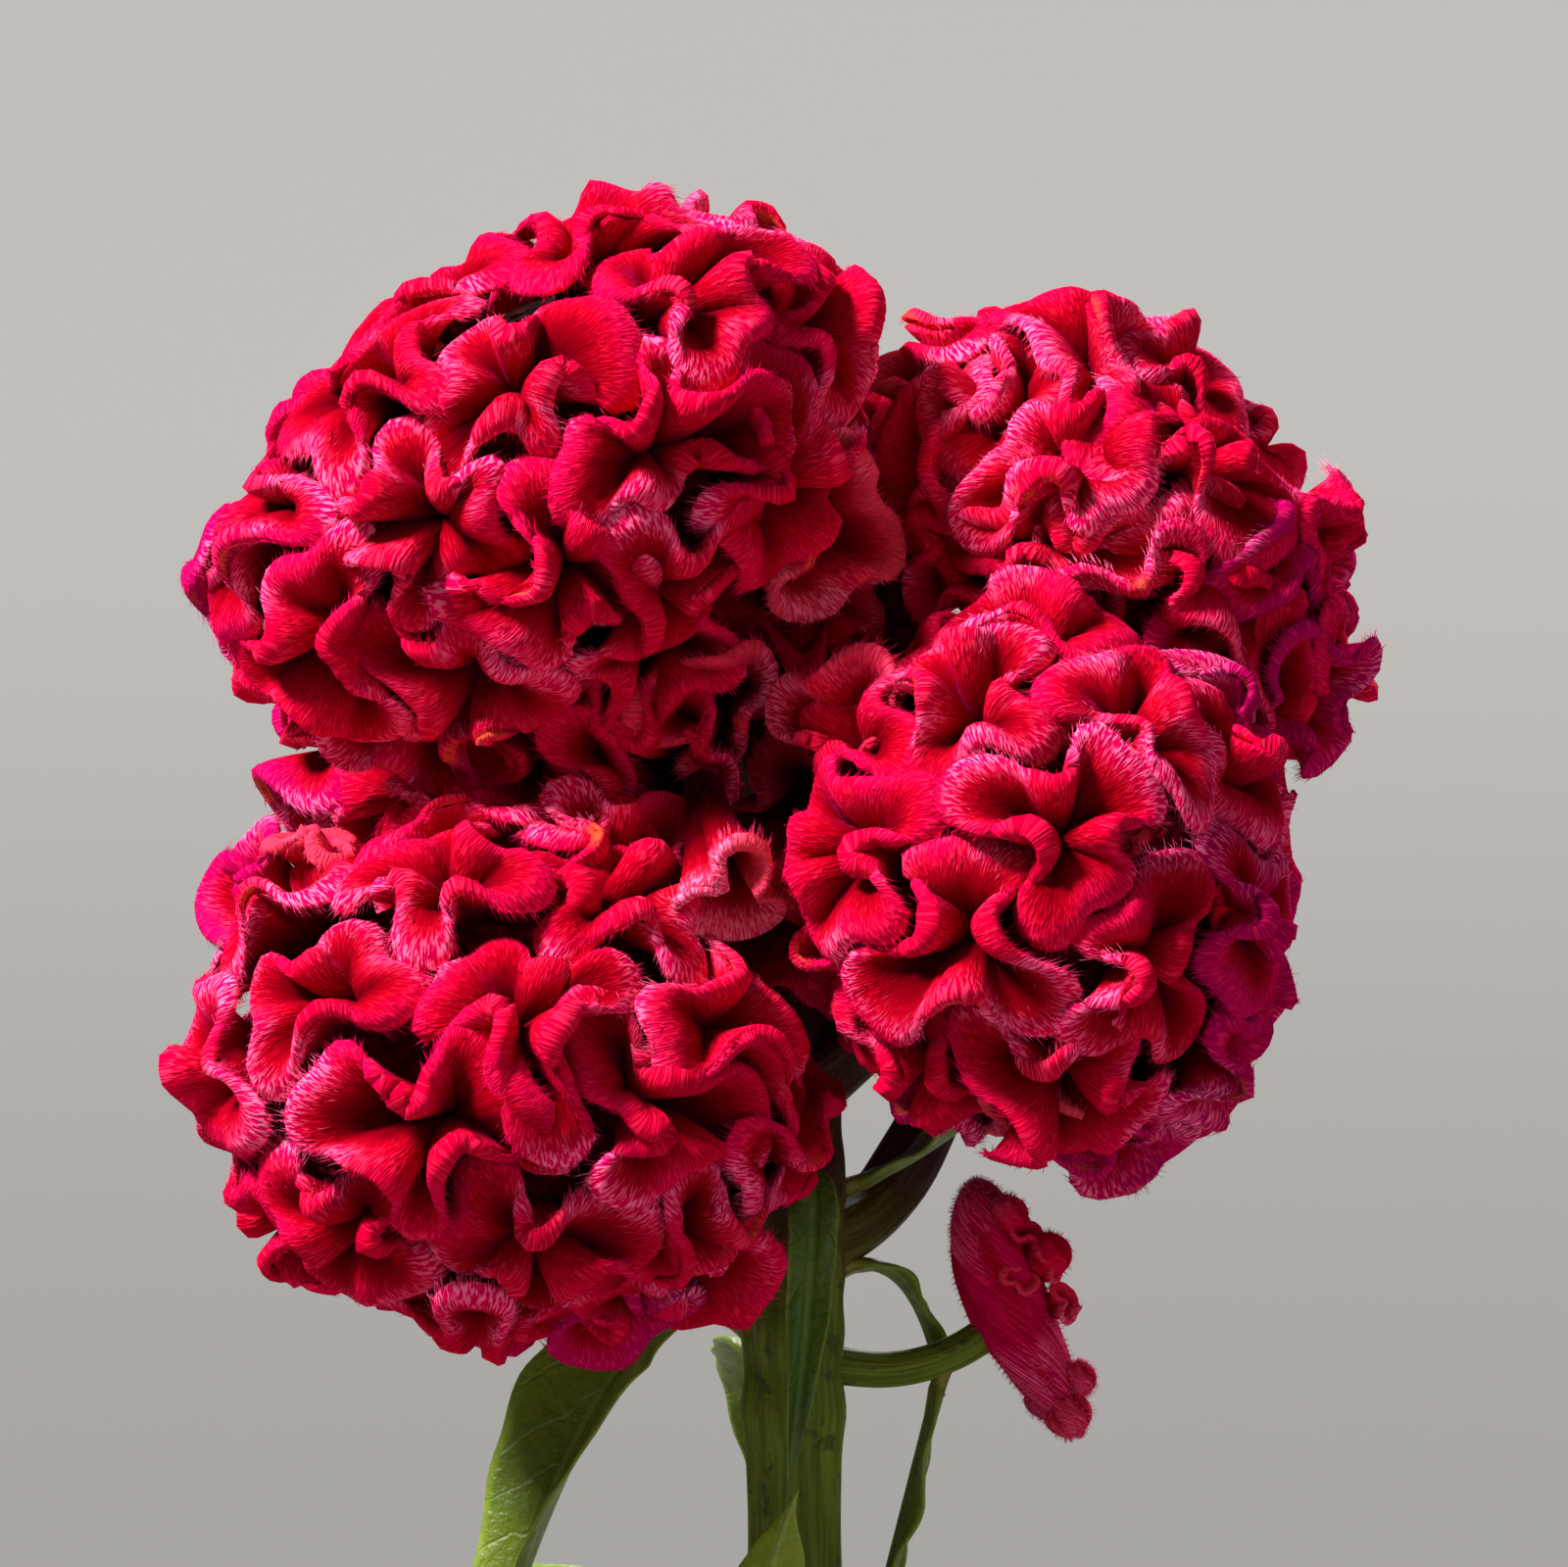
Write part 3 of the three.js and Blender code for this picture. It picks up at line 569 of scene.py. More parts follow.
def bristleMesh(name, roots, directions, lengths, radii, below, marks):
    bm = bmesh.new()
    bmesh.ops.create_cone(bm, cap_ends=True, segments=3, radius1=1, radius2=0, depth=1)
    bmesh.ops.recalc_face_normals(bm, faces=bm.faces)
    bm.verts.ensure_lookup_table()
    shape = np.array([v.co for v in bm.verts])
    faces = np.array([[v.index for v in f.verts] for f in bm.faces])
    bm.free()
    shape[:, 2] += 0.5
    tall = shape[:, 2]
    helper = np.where(np.abs(directions[:, 2:]) < 0.9, np.array([[0.0, 0, 1]]), np.array([[1.0, 0, 0]]))
    first = unit(np.cross(directions, helper))
    second = np.cross(directions, first)
    corners = (roots[:, None] + first[:, None] * (shape[None, :, :1] * radii[:, None, None])
               + second[:, None] * (shape[None, :, 1:2] * radii[:, None, None])
               + directions[:, None] * (shape[None, :, 2:] * lengths[:, None, None]))
    count = len(roots)
    corner = (faces[None] + 4 * np.arange(count)[:, None, None]).reshape(-1)
    mesh = bpy.data.meshes.new(name)
    mesh.vertices.add(count * 4)
    mesh.vertices.foreach_set("co", (corners * mm).astype(np.float32).ravel())
    mesh.loops.add(len(corner))
    mesh.loops.foreach_set("vertex_index", corner.astype(np.int32))
    mesh.polygons.add(len(corner) // 3)
    mesh.polygons.foreach_set("loop_start", np.arange(0, len(corner), 3, dtype=np.int32))
    mesh.update(calc_edges=True)
    uvs = np.stack([np.repeat(below[:, None], 4, 1), np.repeat(tall[None], count, 0)], -1).reshape(-1, 2)
    for label, values in (("UVMap", uvs), ("marks", np.repeat(marks, 4, 0))):
        mesh.uv_layers.new(name=label).data.foreach_set("uv", values[corner].astype(np.float32).ravel())
    mesh.validate()
    return mesh


# Hairs as roots, directions, lengths, depths below the rim and marks
def bellBristles(info, rng, share):
    middles, sideways, halves, depth = (info[key] for key in ("middles", "sideways", "halves", "depth"))
    size = info["size"]
    stations, levels = middles.shape[:2]
    fringe, nap = (int(info["length"] * pile[key] * share / size) for key in ("fringe", "nap"))
    count = fringe + nap
    station = rng.uniform(0, stations, count)
    fringeLevel = rng.uniform(0, pile["rimDepth"], fringe)
    level = np.concatenate([fringeLevel, rng.uniform(0.02, 1, nap) ** 1.3 * pile["deepest"]])
    level = np.interp(level, bell["levels"], np.arange(levels))
    atRim = np.arange(count) < fringe
    row = station.astype(int) % stations
    nextRow = (row + 1) % stations
    rowShare = (station - station.astype(int))[:, None]
    column = np.minimum(level.astype(int), levels - 2)
    columnShare = (level - column)[:, None]

    def blend(values):
        values = values if values.ndim == 3 else values[..., None]
        upper = values[row, column] * (1 - rowShare) + values[nextRow, column] * rowShare
        lower = values[row, column + 1] * (1 - rowShare) + values[nextRow, column + 1] * rowShare
        return upper * (1 - columnShare) + lower * columnShare

    toRim = unit(middles[row, np.maximum(column - 1, 0)] - middles[row, column + 1])
    across = blend(sideways)
    # 1 on the side that looks out of the lobe
    looks = np.where((across * info["outward"][row]).sum(1) > 0, 1.0, -1.0)
    flip = rng.uniform(0, 1, count) < np.where(atRim, pile["flipRim"], pile["flipNap"])
    outSide = unit(across) * (looks * np.where(flip, -1, 1))[:, None]
    roots = blend(middles) + outSide * blend(halves)
    direction = outSide * np.where(atRim, rng.uniform(0, 0.5, count), pile["lean"])[:, None] + toRim
    direction = unit(direction + rng.normal(0, pile["scatter"], (count, 3)))
    lengths = rng.uniform(pile["shortest"], pile["longest"], count)
    lengths = lengths * np.where(atRim, 1, pile["napLength"]) * size
    lengths *= 1 - (1 - pile["atNotch"]) * info["notch"][row]
    marks = np.stack([info["notch"][row], np.full(count, info["tint"])], -1)
    return roots - direction * pile["rooted"] * size, direction, lengths, blend(depth)[:, 0], marks


# A soft, folded round body with its hairs, for the small crest of the side shoot
def clubInto(bm, place, matrix, grid, folds, tint, hairs, rng, thinning=0.0, bow=0.0):
    rows, around = grid
    centre = headCentre + np.array(place, float)
    turn = np.linspace(0, fullTurn, around + 1)[None]
    height = np.cos(np.linspace(0, math.pi, rows)[:, None]) * np.ones_like(turn)
    fold = np.zeros_like(height)
    for number, phase, twist, deep in folds:
        fold += deep * np.sin(number * turn + phase + twist * height) * np.cos(0.8 * twist * height + phase)
    width = np.sin(np.linspace(0, math.pi, rows)[:, None]) * (1 + fold) * (1 - thinning * (1 - height) / 2)
    shape = np.stack([width * np.cos(turn), width * np.sin(turn), height], -1)
    shape[:, -1] = shape[:, 0]
    places = shape @ matrix.T + centre + (1 - height ** 2)[..., None] * np.array([bow, 0, 0])
    # painted shade and highlight: the depth that drives the velvet colours grows in the fold valleys, so
    # creases are painted darker and ridges get the pink lip highlight
    below = np.clip(1.8 - 16 * fold, 0.6, 5)
    uvs = np.stack([turn * 4 + height * 9, below + height], -1)
    gridInto(bm, places, [uvs, np.stack([np.full_like(height, 0.3), np.full_like(height, tint)], -1)])

    row = rng.integers(1, rows - 1, hairs)
    column = rng.integers(0, around, hairs)
    sideways = places[row, column + 1] - places[row, column]
    spot = places[row, column] + sideways * rng.uniform(0, 1, (hairs, 1))
    outward = unit(np.cross(sideways, places[row + 1, column] - places[row - 1, column]))
    outward *= np.sign(((spot - centre) * outward).sum(1, keepdims=True))
    direction = unit(outward + rng.normal(0, 0.35, (hairs, 3)) + np.array([0.1, 0, -0.5]))
    lengths = rng.uniform(*sideCrest["pileLength"], hairs)
    marks = np.stack([np.full(hairs, 0.2), np.full(hairs, tint)], -1)
    return spot - direction * 0.05, direction, lengths, np.full(hairs, 0.6), marks


rng = np.random.default_rng(bell["seed"])
bristleRng = np.random.default_rng(pile["seed"])
ribbonMeshes = {}
bristleMeshes = {}
for name, lobe in lobes.items():
    bm = bmesh.new()
    bristles = []
    size = sideCrest["bellSize"] if name == "crest_side" else 1.0
    made = [lobeBell(lobe, ring, rng) for ring in rims.get(name, [])]
    made += [extraBell(*spot, size, rng) for spot in extraBells.get(name, [])]
    share = pile["farShare"] if "back" in name or "middle" in name else 1.0
    for places, uvs, info in made:
        gridInto(bm, places, uvs)
        bristles.append(bellBristles(info, bristleRng, share))
    if name == "crest_side":
        club = sideCrest
        bristles.append(clubInto(bm, club["centre"], lobe["matrix"], club["grid"], club["folds"],
                                 club["tint"], club["pile"], bristleRng, club["thinning"], club["bow"]))
        for place, radius, tint in club["tips"]:
            bristles.append(clubInto(bm, place, np.eye(3) * radius, club["tipGrid"], club["tipFolds"], tint,
                                     club["tipPile"], bristleRng))
    ribbonMeshes[name] = weldedMesh(bm, name + "_ribbons")
    roots, directions, lengths, below, marks = (np.concatenate(values) for values in zip(*bristles))
    radii = pile["radius"] * np.minimum(1, lengths / pile["shortest"])
    bristleMeshes[name] = bristleMesh(name + "_pile", roots, directions, lengths, radii, below, marks)
    print(name, len(ribbonMeshes[name].polygons) * 2, "ribbon triangles,", len(roots) * 4, "pile triangles")


# The cores on which the bells stand
core = dict(share=0.66, bump=1.1, bumpSize=0.45, subdivisions=3)


def coreMesh(name, lobe):
    bm = bmesh.new()
    bmesh.ops.create_icosphere(bm, subdivisions=core["subdivisions"], radius=1)
    centre = lobe["centre"] + headCentre
    for vertex in bm.verts:
        place = lobe["matrix"] @ np.array(vertex.co) * core["share"]
        spot = Vector(place * core["bumpSize"])
        bump = core["bump"] * (noise.noise(spot) + 0.6 * noise.noise(spot * 2.3))
        vertex.co = Vector((centre + place * (1 + bump / 30)) * mm)
    return weldedMesh(bm, name)


# Velvet: a fine pile of strands that run down from the rim
crestLook = dict(
    # painted shade: the stops darken from the rim down into the throat, standing in for the shade deep inside
    # the bells
    stops=((0.0, (216, 0, 54)), (0.08, (204, 0, 40)), (0.2, (174, 0, 26)), (0.34, (124, 0, 14)),
           (0.5, (70, 0, 7)), (0.75, (28, 0, 3))),
    deep=16,  # millimetres from the rim down into the throat over which the stops run
    # painted highlight: pink is the hot pink of lips where light catches them
    # painted highlight: salmon is the pale cast of a few strongly lit bells
    # painted reflection: magenta is a cool cast on bells that face the side or down
    lipHighlight=(244, 10, 98), magentaReflection=(166, 0, 100), salmonHighlight=(250, 110, 122),
    # painted highlight: hot pink hair tips and pale pink hairs where light catches them
    hairTipHighlight=(238, 16, 104), hairHighlight=(255, 122, 174),
    # painted highlight: glow and light are strands that catch the light
    # painted shade: dark is the shade in the gaps between strands
    strandShade=(92, 0, 12), glow=(238, 44, 84), light=(255, 132, 180), orange=(230, 92, 48), sheen=(255, 30, 120),
    # painted shade: the cores are dark crimson, standing in for the shade deep between the bells
    core=((0.0, (128, 3, 30)), (0.5, (92, 0, 16)), (1.0, (46, 0, 6))),
)


def velvetGroup():
    group, ins, outs = nodeGroup("velvet strands", (("Along", "Float"), ("Depth", "Float")),
                                 ("Strand", "Tuft"))
    for label, stretch, scale in (("Strand", 0.2, 4.6), ("Tuft", 0.3, 0.6)):
        flat = addNode(group, "CombineXYZ", input0=ins.outputs["Along"],
                       input1=multiply(group, ins.outputs["Depth"], stretch))
        pattern = addNode(group, "TexNoise", {"noise_dimensions": "2D"}, Vector=flat.outputs[0], Scale=scale,
                          Detail=1.0, Roughness=0.5)
        group.links.new(mapRange(group, pattern.outputs[0], 0.3, 0.7), outs.inputs[label])
    return group


velvet = velvetGroup()


def crestMaterial(name, bristle=False):
    material, tree, shader = newMaterial(name)
    look = crestLook
    parts, marks = uvParts(tree, "UVMap"), uvParts(tree, "marks")
    depth, along = (parts[0], parts[1]) if bristle else (parts[1], parts[0])
    notch, tint = marks[0], marks[1]
    patches = addNode(tree, "TexNoise", Vector=objectPlace(tree), Scale=75.0, Detail=1.0, Roughness=0.5)
    patch = patches.outputs[0]
    # painted highlight: these patches mark whole fans that catch the light, with paler lips and hairs
    highlightPatch = mapRange(tree, patch, 0.48, 0.58)
    # painted shade: the colour gets darker with depth from the rim into the throat
    base = ramp(tree, multiply(tree, depth, 1 / look["deep"]), look["stops"])
    scallop = mapRange(tree, notch, 0.55, 0.1, 0.1, 1.0)
    lip = multiply(tree, mapRange(tree, depth, 4.0, 0.2), scallop)
    # painted highlight: hot pink on the lips, strongest at the scallops and in the lit patches
    lipHighlight = multiply(tree, lip, mapRange(tree, highlightPatch, 0, 1, 0.42, 1.0))
    base = mixColour(tree, lipHighlight, base, look["lipHighlight"])
    # painted reflection: low tints get a magenta cast near the rim
    magentaReflection = multiply(tree, mapRange(tree, tint, 0.24, 0.08, 0, 0.72), mapRange(tree, depth, 4.5, 0.2))
    base = mixColour(tree, magentaReflection, base, look["magentaReflection"])
    # painted highlight: bells with the highest tints get pale salmon lips, as if strongly lit
    salmonHighlight = multiply(tree, mapRange(tree, tint, 0.86, 0.97, 0, 0.34), lip)
    base = mixColour(tree, salmonHighlight, base, look["salmonHighlight"])
    if bristle:
        # painted highlight: hair tips turn hot pink towards the scallops, and pale pink in the lit patches
        tip = mapRange(tree, along, 0.1, 0.9, 0.15, 0.9)
        hairTipHighlight = multiply(tree, tip, mapRange(tree, scallop, 0, 1, 0.3, 1.0))
        base = mixColour(tree, hairTipHighlight, base, look["hairTipHighlight"])
        hairHighlight = multiply(tree, multiply(tree, tip, highlightPatch), scallop)
        base = mixColour(tree, hairHighlight, base, look["hairHighlight"])
    else:
        strand = placeGroup(tree, velvet, Along=along, Depth=depth)
        streak = strand["Strand"]
        # painted shade in the gaps between strands
        base = mixColour(tree, mapRange(tree, streak, 0.5, 0.1, 0, 0.3), base, look["strandShade"])
        # painted highlight: high strands are lit near the rim (glow) and pale pink on the lit patches of the
        # lips (light)
        glow = multiply(tree, mapRange(tree, streak, 0.62, 1.0, 0, 0.4), mapRange(tree, depth, 6.0, 0.3))
        base = mixColour(tree, glow, base, look["glow"])
        light = multiply(tree, mapRange(tree, streak, 0.42, 0.9, 0, 0.76), multiply(tree, lip, highlightPatch))
        base = mixColour(tree, light, base, look["light"])
        line = multiply(tree, mapRange(tree, depth, 0.2, 0.03), mapRange(tree, patch, 0.44, 0.52))
        line = multiply(tree, line, mapRange(tree, notch, 0.35, 0.8))
        base = mixColour(tree, multiply(tree, line, 0.7), base, look["orange"])
        addBump(tree, shader, 0.45, 0.0004, maths(tree, "ADD", streak, multiply(tree, strand["Tuft"], 0.9)))
        fillInputs(tree, shader, {"Sheen Weight": 0.16, "Sheen Roughness": 0.35,
                                  "Sheen Tint": linear(*look["sheen"])})
    fillInputs(tree, shader, {"Base Color": base, "Roughness": 0.75, "Specular IOR Level": 0.0})
    return material


def coreMaterial():
    material, tree, shader = newMaterial("crest core")
    buds = addNode(tree, "TexVoronoi", Vector=objectPlace(tree), Scale=700.0).outputs["Distance"]
    # painted shade: dark crimson throughout, as the shade between the bells; the bud pattern is the core's
    # own
    base = ramp(tree, buds, crestLook["core"])
    addBump(tree, shader, 0.8, 0.0006, maths(tree, "SUBTRACT", 1.0, buds))
    fillInputs(tree, shader, {"Base Color": base, "Roughness": 0.9, "Specular IOR Level": 0.05})
    return material


velvetRibbon = crestMaterial("crest velvet")
velvetPile = crestMaterial("crest pile", bristle=True)
crestCore = coreMaterial()
for name, lobe in lobes.items():
    if name != "crest_side":
        finishPiece(name + "_core", coreMesh(name + "_core", lobe), crestCore)
    finishPiece(name + "_ribbons", ribbonMeshes[name], velvetRibbon, [name])
    finishPiece(name + "_pile", bristleMeshes[name], velvetPile)
print("flower head made")


# Stem: a ribbed trunk that grows into branches inside the head
stemShape = dict(
    radius=4.6, rib=0.32, fineRib=0.09, ribs=7, around=56, step=1.2, swelling=0.45, jointLength=2.6,
    branchRadius=3.1, branchFlare=0.45, branchAround=32, branchEnd=0.72,
    shootRadius=1.7, shootFlare=0.5, shootAround=24, shootStep=0.8,
)
trunkStops = [(0, 0, 68.3), (0, 0, 90), (0, 0, 108), (-0.7, 0.3, 140), (-0.3, -0.4, 175)] + [
    tuple(headCentre + point) for point in ((-0.4, 10, -48), (0.2, 10, -22), (2.5, 13, -4), (5, 16, 14))]
branchStops = {
    "crest_upper_left": [(0, 10, -20), (-3, 11, 2)],
    "crest_upper_right": [(0, 10, -20), (10, 8, 0)],
    "crest_right": [(0, 10, -30), (8, 6, -24)],
    "crest_lower_left": [(0, 10, -34), (-8, 8, -34)],
    "crest_back_left": [(0, 10, -42), (-8, 16, -36)],
    "crest_back_right": [(0, 10, -46), (8, 16, -42)],
}
shootStops = [(0, 10, -57), (9, 9.5, -58), (15, 9, -56.5), (22.5, 8, -51.7)]


# A centripetal curve through the stops, in even steps
def openSpline(stops, step):
    stops = np.array(stops, float)
    padded = np.concatenate([[2 * stops[0] - stops[1]], stops, [2 * stops[-1] - stops[-2]]])
    t = np.linspace(0, 1, 40, endpoint=False)[:, None]
    found = []
    for k in range(len(stops) - 1):
        a, b, c, d = padded[k:k + 4]
        gaps = [max(np.linalg.norm(q - p) ** 0.5, 1e-4) for p, q in ((a, b), (b, c), (c, d))]
        first = ((b - a) / gaps[0] - (c - a) / (gaps[0] + gaps[1]) + (c - b) / gaps[1]) * gaps[1]
        last = ((c - b) / gaps[1] - (d - b) / (gaps[1] + gaps[2]) + (d - c) / gaps[2]) * gaps[1]
        bend = (-3 * b + 3 * c - 2 * first - last) * t ** 2 + (2 * b - 2 * c + first + last) * t ** 3
        found.append(b + first * t + bend)
    curve = np.concatenate(found + [stops[-1:]])
    travelled = np.concatenate([[0], np.cumsum(np.linalg.norm(np.diff(curve, axis=0), axis=1))])
    even = np.linspace(0, travelled[-1], max(4, int(travelled[-1] / step)))
    return np.stack([np.interp(even, travelled, curve[:, k]) for k in range(3)], 1), even


# A tube along a path; radiusAt gives the radius for [station, turn]
def tubeInto(bm, path, travelled, radiusAt, around):
    tangent = unit(np.gradient(path, axis=0))
    first = unit(np.cross(tangent[0], (0.3, 1, 0.1)))
    firsts = []
    for direction in tangent:
        first = unit(first - direction * (first @ direction))
        firsts.append(first)
    first = np.array(firsts)
    second = np.cross(tangent, first)
    turn = np.linspace(0, fullTurn, around + 1)
    radius = radiusAt(travelled[:, None], turn[None])
    circle = first[:, None] * np.cos(turn)[None, :, None] + second[:, None] * np.sin(turn)[None, :, None]
    places = path[:, None] + circle * radius[..., None]
    places[:, -1] = places[:, 0]
    uvs = np.stack(np.broadcast_arrays(turn[None] * stemShape["radius"], travelled[:, None]), -1)
    gridInto(bm, places, [uvs])


def closedMesh(bm, name):
    bmesh.ops.remove_doubles(bm, verts=bm.verts, dist=weldDistance)
    bmesh.ops.holes_fill(bm, edges=[edge for edge in bm.edges if edge.is_boundary])
    return weldedMesh(bm, name)


trunkPath, trunkAlong = openSpline(trunkStops, stemShape["step"])


def trunkAt(height):
    return np.array([np.interp(height, trunkPath[:, 2], trunkPath[:, k]) for k in range(2)] + [height])


def stemMesh(leafHeights):
    bm = bmesh.new()

    def trunkRadius(along, turn):
        z = np.interp(along, trunkAlong, trunkPath[:, 2])
        ribs = stemShape["rib"] * np.cos(stemShape["ribs"] * turn + 0.02 * z)
        fineRibs = stemShape["fineRib"] * np.cos(3 * stemShape["ribs"] * turn + 1.1)
        joints = sum(np.exp(-((z - height) / stemShape["jointLength"]) ** 2) for height in leafHeights)
        wander = 0.12 * np.sin(0.13 * z + 0.4) + 0.08 * np.sin(0.31 * z + 2 * turn)
        swelling = stemShape["swelling"] * np.minimum(joints, 1)
        return stemShape["radius"] + (ribs + fineRibs) + wander + swelling

    def branchRadius(along, turn):
        flare = stemShape["branchRadius"] * (1 + stemShape["branchFlare"] * np.exp(-along / 5))
        return flare + 0.2 * np.cos(5 * turn + 0.05 * along) + 0.1 * np.sin(0.5 * along)

    def shootRadius(along, turn):
        flare = stemShape["shootRadius"] * (1 + stemShape["shootFlare"] * np.exp(-along / 3))
        return flare + 0.1 * np.cos(5 * turn)

    tubeInto(bm, trunkPath, trunkAlong, trunkRadius, stemShape["around"])
    for name, via in branchStops.items():
        end = headCentre + np.array(lobeSizes[name]["centre"], float)
        stops = [headCentre + np.array(point) for point in via]
        stops.append(stops[-1] + (end - stops[-1]) * stemShape["branchEnd"])
        path, along = openSpline(stops, stemShape["step"])
        tubeInto(bm, path, along, branchRadius, stemShape["branchAround"])
    path, along = openSpline([headCentre + np.array(point) for point in shootStops], stemShape["shootStep"])
    tubeInto(bm, path, along, shootRadius, stemShape["shootAround"])
    return closedMesh(bm, "stem")


# Leaves: height on the stem or start, azimuth, half width, and the bend and tip of the midrib
shownLeaves = [
    dict(height=196, azimuth=170, half=6.5, through=(-18, 4, 207), tip=(-34, 0, 150), roll=44, fold=1.2,
         tint=0.35),
    dict(height=212, azimuth=-80, half=1.75, through=(3, -9, 214), tip=(-1.2, -9.5, 179), tint=0.0),
    dict(height=130, azimuth=-108, half=6, through=(-9, -17, 160), tip=(0, -15.5, 181.5), tint=1.0),
    dict(height=210, azimuth=5, half=2, through=(13, -0.5, 213), tip=(21.5, -2, 221)),
    dict(height=202, azimuth=15, half=1.8, through=(12, 2.5, 205), tip=(14.5, 4, 189)),
    dict(start=(14.6, -0.9, 192.6), azimuth=0, half=3, through=(12, -1, 183), tip=(7.5, 0, 166)),
    dict(height=188, azimuth=96, half=5.5, through=(-2, 24, 202), tip=(-5, 42, 176)),
]
spiralLeaves = [
    dict(height=132 + 4.6 * k, azimuth=(40 + 137.5 * k) % 360, half=11 - 0.6 * k, length=96 - 3 * k, rise=38,
         droop=0.12 + 0.02 * (k % 3)) for k in (0, 1, 2, 3, 5, 6)]
leaves = shownLeaves + spiralLeaves
leafBlade = dict(stations=64, across=9, taper=0.12, thickness=0.7, edge=0.3, petioleHalf=1.1, petiole=1.8,
                 fold=0.42, wave=1.1, midrib=0.5, veinGap=4.2, veinRise=0.16, tooth=0.035, tint=0.3)


# The midrib's start, bend and tip
def leafLine(leaf, outward):
    if "start" in leaf:
        start = np.array(leaf["start"], float)
    else:
        start = trunkAt(leaf["height"]) + outward * stemShape["radius"]
    if "through" in leaf:
        return start, np.array(leaf["through"], float), np.array(leaf["tip"], float)
    rise = math.radians(leaf["rise"])
    bend = start + 0.45 * leaf["length"] * (outward * math.cos(rise) + np.array([0, 0, math.sin(rise)]))
    tip = start + 0.86 * leaf["length"] * outward - np.array([0, 0, leaf["droop"] * leaf["length"]])
    return start, bend, tip


# In the grids below, rows are stations from the stem to the tip and columns run across the blade
def leafMesh(leaf, number):
    azimuth = math.radians(leaf["azimuth"])
    outward = np.array([math.cos(azimuth), math.sin(azimuth), 0])
    aside = np.array([-math.sin(azimuth), math.cos(azimuth), 0])
    start, bend, tip = leafLine(leaf, outward)
    t = np.linspace(0, 1, leafBlade["stations"])[:, None]
    middle = start * (1 - t) ** 2 + bend * 2 * t * (1 - t) + tip * t ** 2
    tangent = unit(2 * (bend - start) * (1 - t) + 2 * (tip - bend) * t)
    across = unit(aside - tangent * (tangent @ aside)[:, None])
    up = unit(np.cross(tangent, across))
    blade = np.maximum(0, (t - 0.1) / 0.9)
    roll = math.radians(leaf.get("roll", 0)) * np.minimum(1, blade * 3)
    across, up = across * np.cos(roll) - up * np.sin(roll), up * np.cos(roll) + across * np.sin(roll)
    shape = leaf["half"] * np.sin(math.pi * blade ** 0.8) ** 1.1
    point = np.clip((1 - t) / leafBlade["taper"], 0.04, 1) ** 0.8
    stalkHalf = leafBlade["petioleHalf"] * (1 - 0.6 * t)
    half = (stalkHalf + shape * (1 + leafBlade["tooth"] * np.sin(46 * t + number))) * point
    length = np.linalg.norm(np.diff(middle, axis=0), axis=1).sum()
    stalk = np.maximum(0, 1 - t / 0.25)
    spread = np.minimum(1, half / leaf["half"])

    u = np.linspace(-1, 1, 2 * leafBlade["across"] + 1)
    u = (np.sign(u) * np.abs(u) ** 1.15)[None]
    off = np.abs(u) * half
    wave = leafBlade["wave"] * np.sin(5 * math.pi * t + leaf["azimuth"] + 1.3 * u) * u * u * spread * blade
    vein = (t * length * 0.75 - off * 0.9) / leafBlade["veinGap"] + number * 0.3
    furrow = np.abs(np.sin(math.pi * vein)) ** 0.6
    quilt = leafBlade["veinRise"] * furrow * np.minimum(1, off / 1.5) * spread * blade
    folded = leaf.get("fold", leafBlade["fold"]) * off * blade
    raised = folded + wave + quilt * np.minimum(1, leaf["half"] / 5)
    edge = 1 - np.abs(u) ** 6
    thick = leafBlade["edge"] + (leafBlade["thickness"] - leafBlade["edge"]) * edge
    thick = thick + (leafBlade["petiole"] - leafBlade["thickness"]) * stalk * edge
    thick = thick * (0.4 + 0.6 * point)
    rib = leafBlade["midrib"] * np.exp(-(off / 0.55) ** 2) * (1 - 0.7 * t) * np.minimum(1, half / 1.5)

    def surface(lift):
        flat = middle[:, None] + across[:, None] * (half * u)[..., None]
        return flat + up[:, None] * (raised + lift)[..., None]

    top, bottom = surface(thick / 2 - 0.3 * rib), surface(-thick / 2 - rib)
    places = np.concatenate([top[:, ::-1], bottom, top[:, -1:]], 1)
    side = np.concatenate([u[:, ::-1], u, u[:, -1:]], 1) * np.ones_like(t)
    uvs = np.stack([side * np.maximum(half, 0.3), t * length * np.ones_like(side)], -1)
    marks = np.stack([np.abs(side), np.full_like(side, leaf.get("tint", leafBlade["tint"]))], -1)
    bm = bmesh.new()
    gridInto(bm, places, [uvs, marks])
    return closedMesh(bm, "leaf")


# Pot: a turned terracotta pot with three drain holes
potShape = dict(
    height=118, foot=46, shoulder=60, rim=66, rimHeight=25, wall=6, floor=7, steps=144,
    ripples=15, ripple=0.12, holes=3, holeRadius=5, holeCircle=22,
)


def innerPotRadius(height):
    shoulder = potShape["height"] - potShape["rimHeight"]
    rimInner = potShape["rim"] - potShape["wall"]
    bodyInner = potShape["shoulder"] - potShape["wall"]
    if height > shoulder:
        return bodyInner + (rimInner - bodyInner) * (height - shoulder) / potShape["rimHeight"]
    floorInner = potShape["foot"] - potShape["wall"] + 1
    widening = (bodyInner - floorInner) * (height - potShape["floor"])
    return floorInner + widening / (shoulder - potShape["floor"])


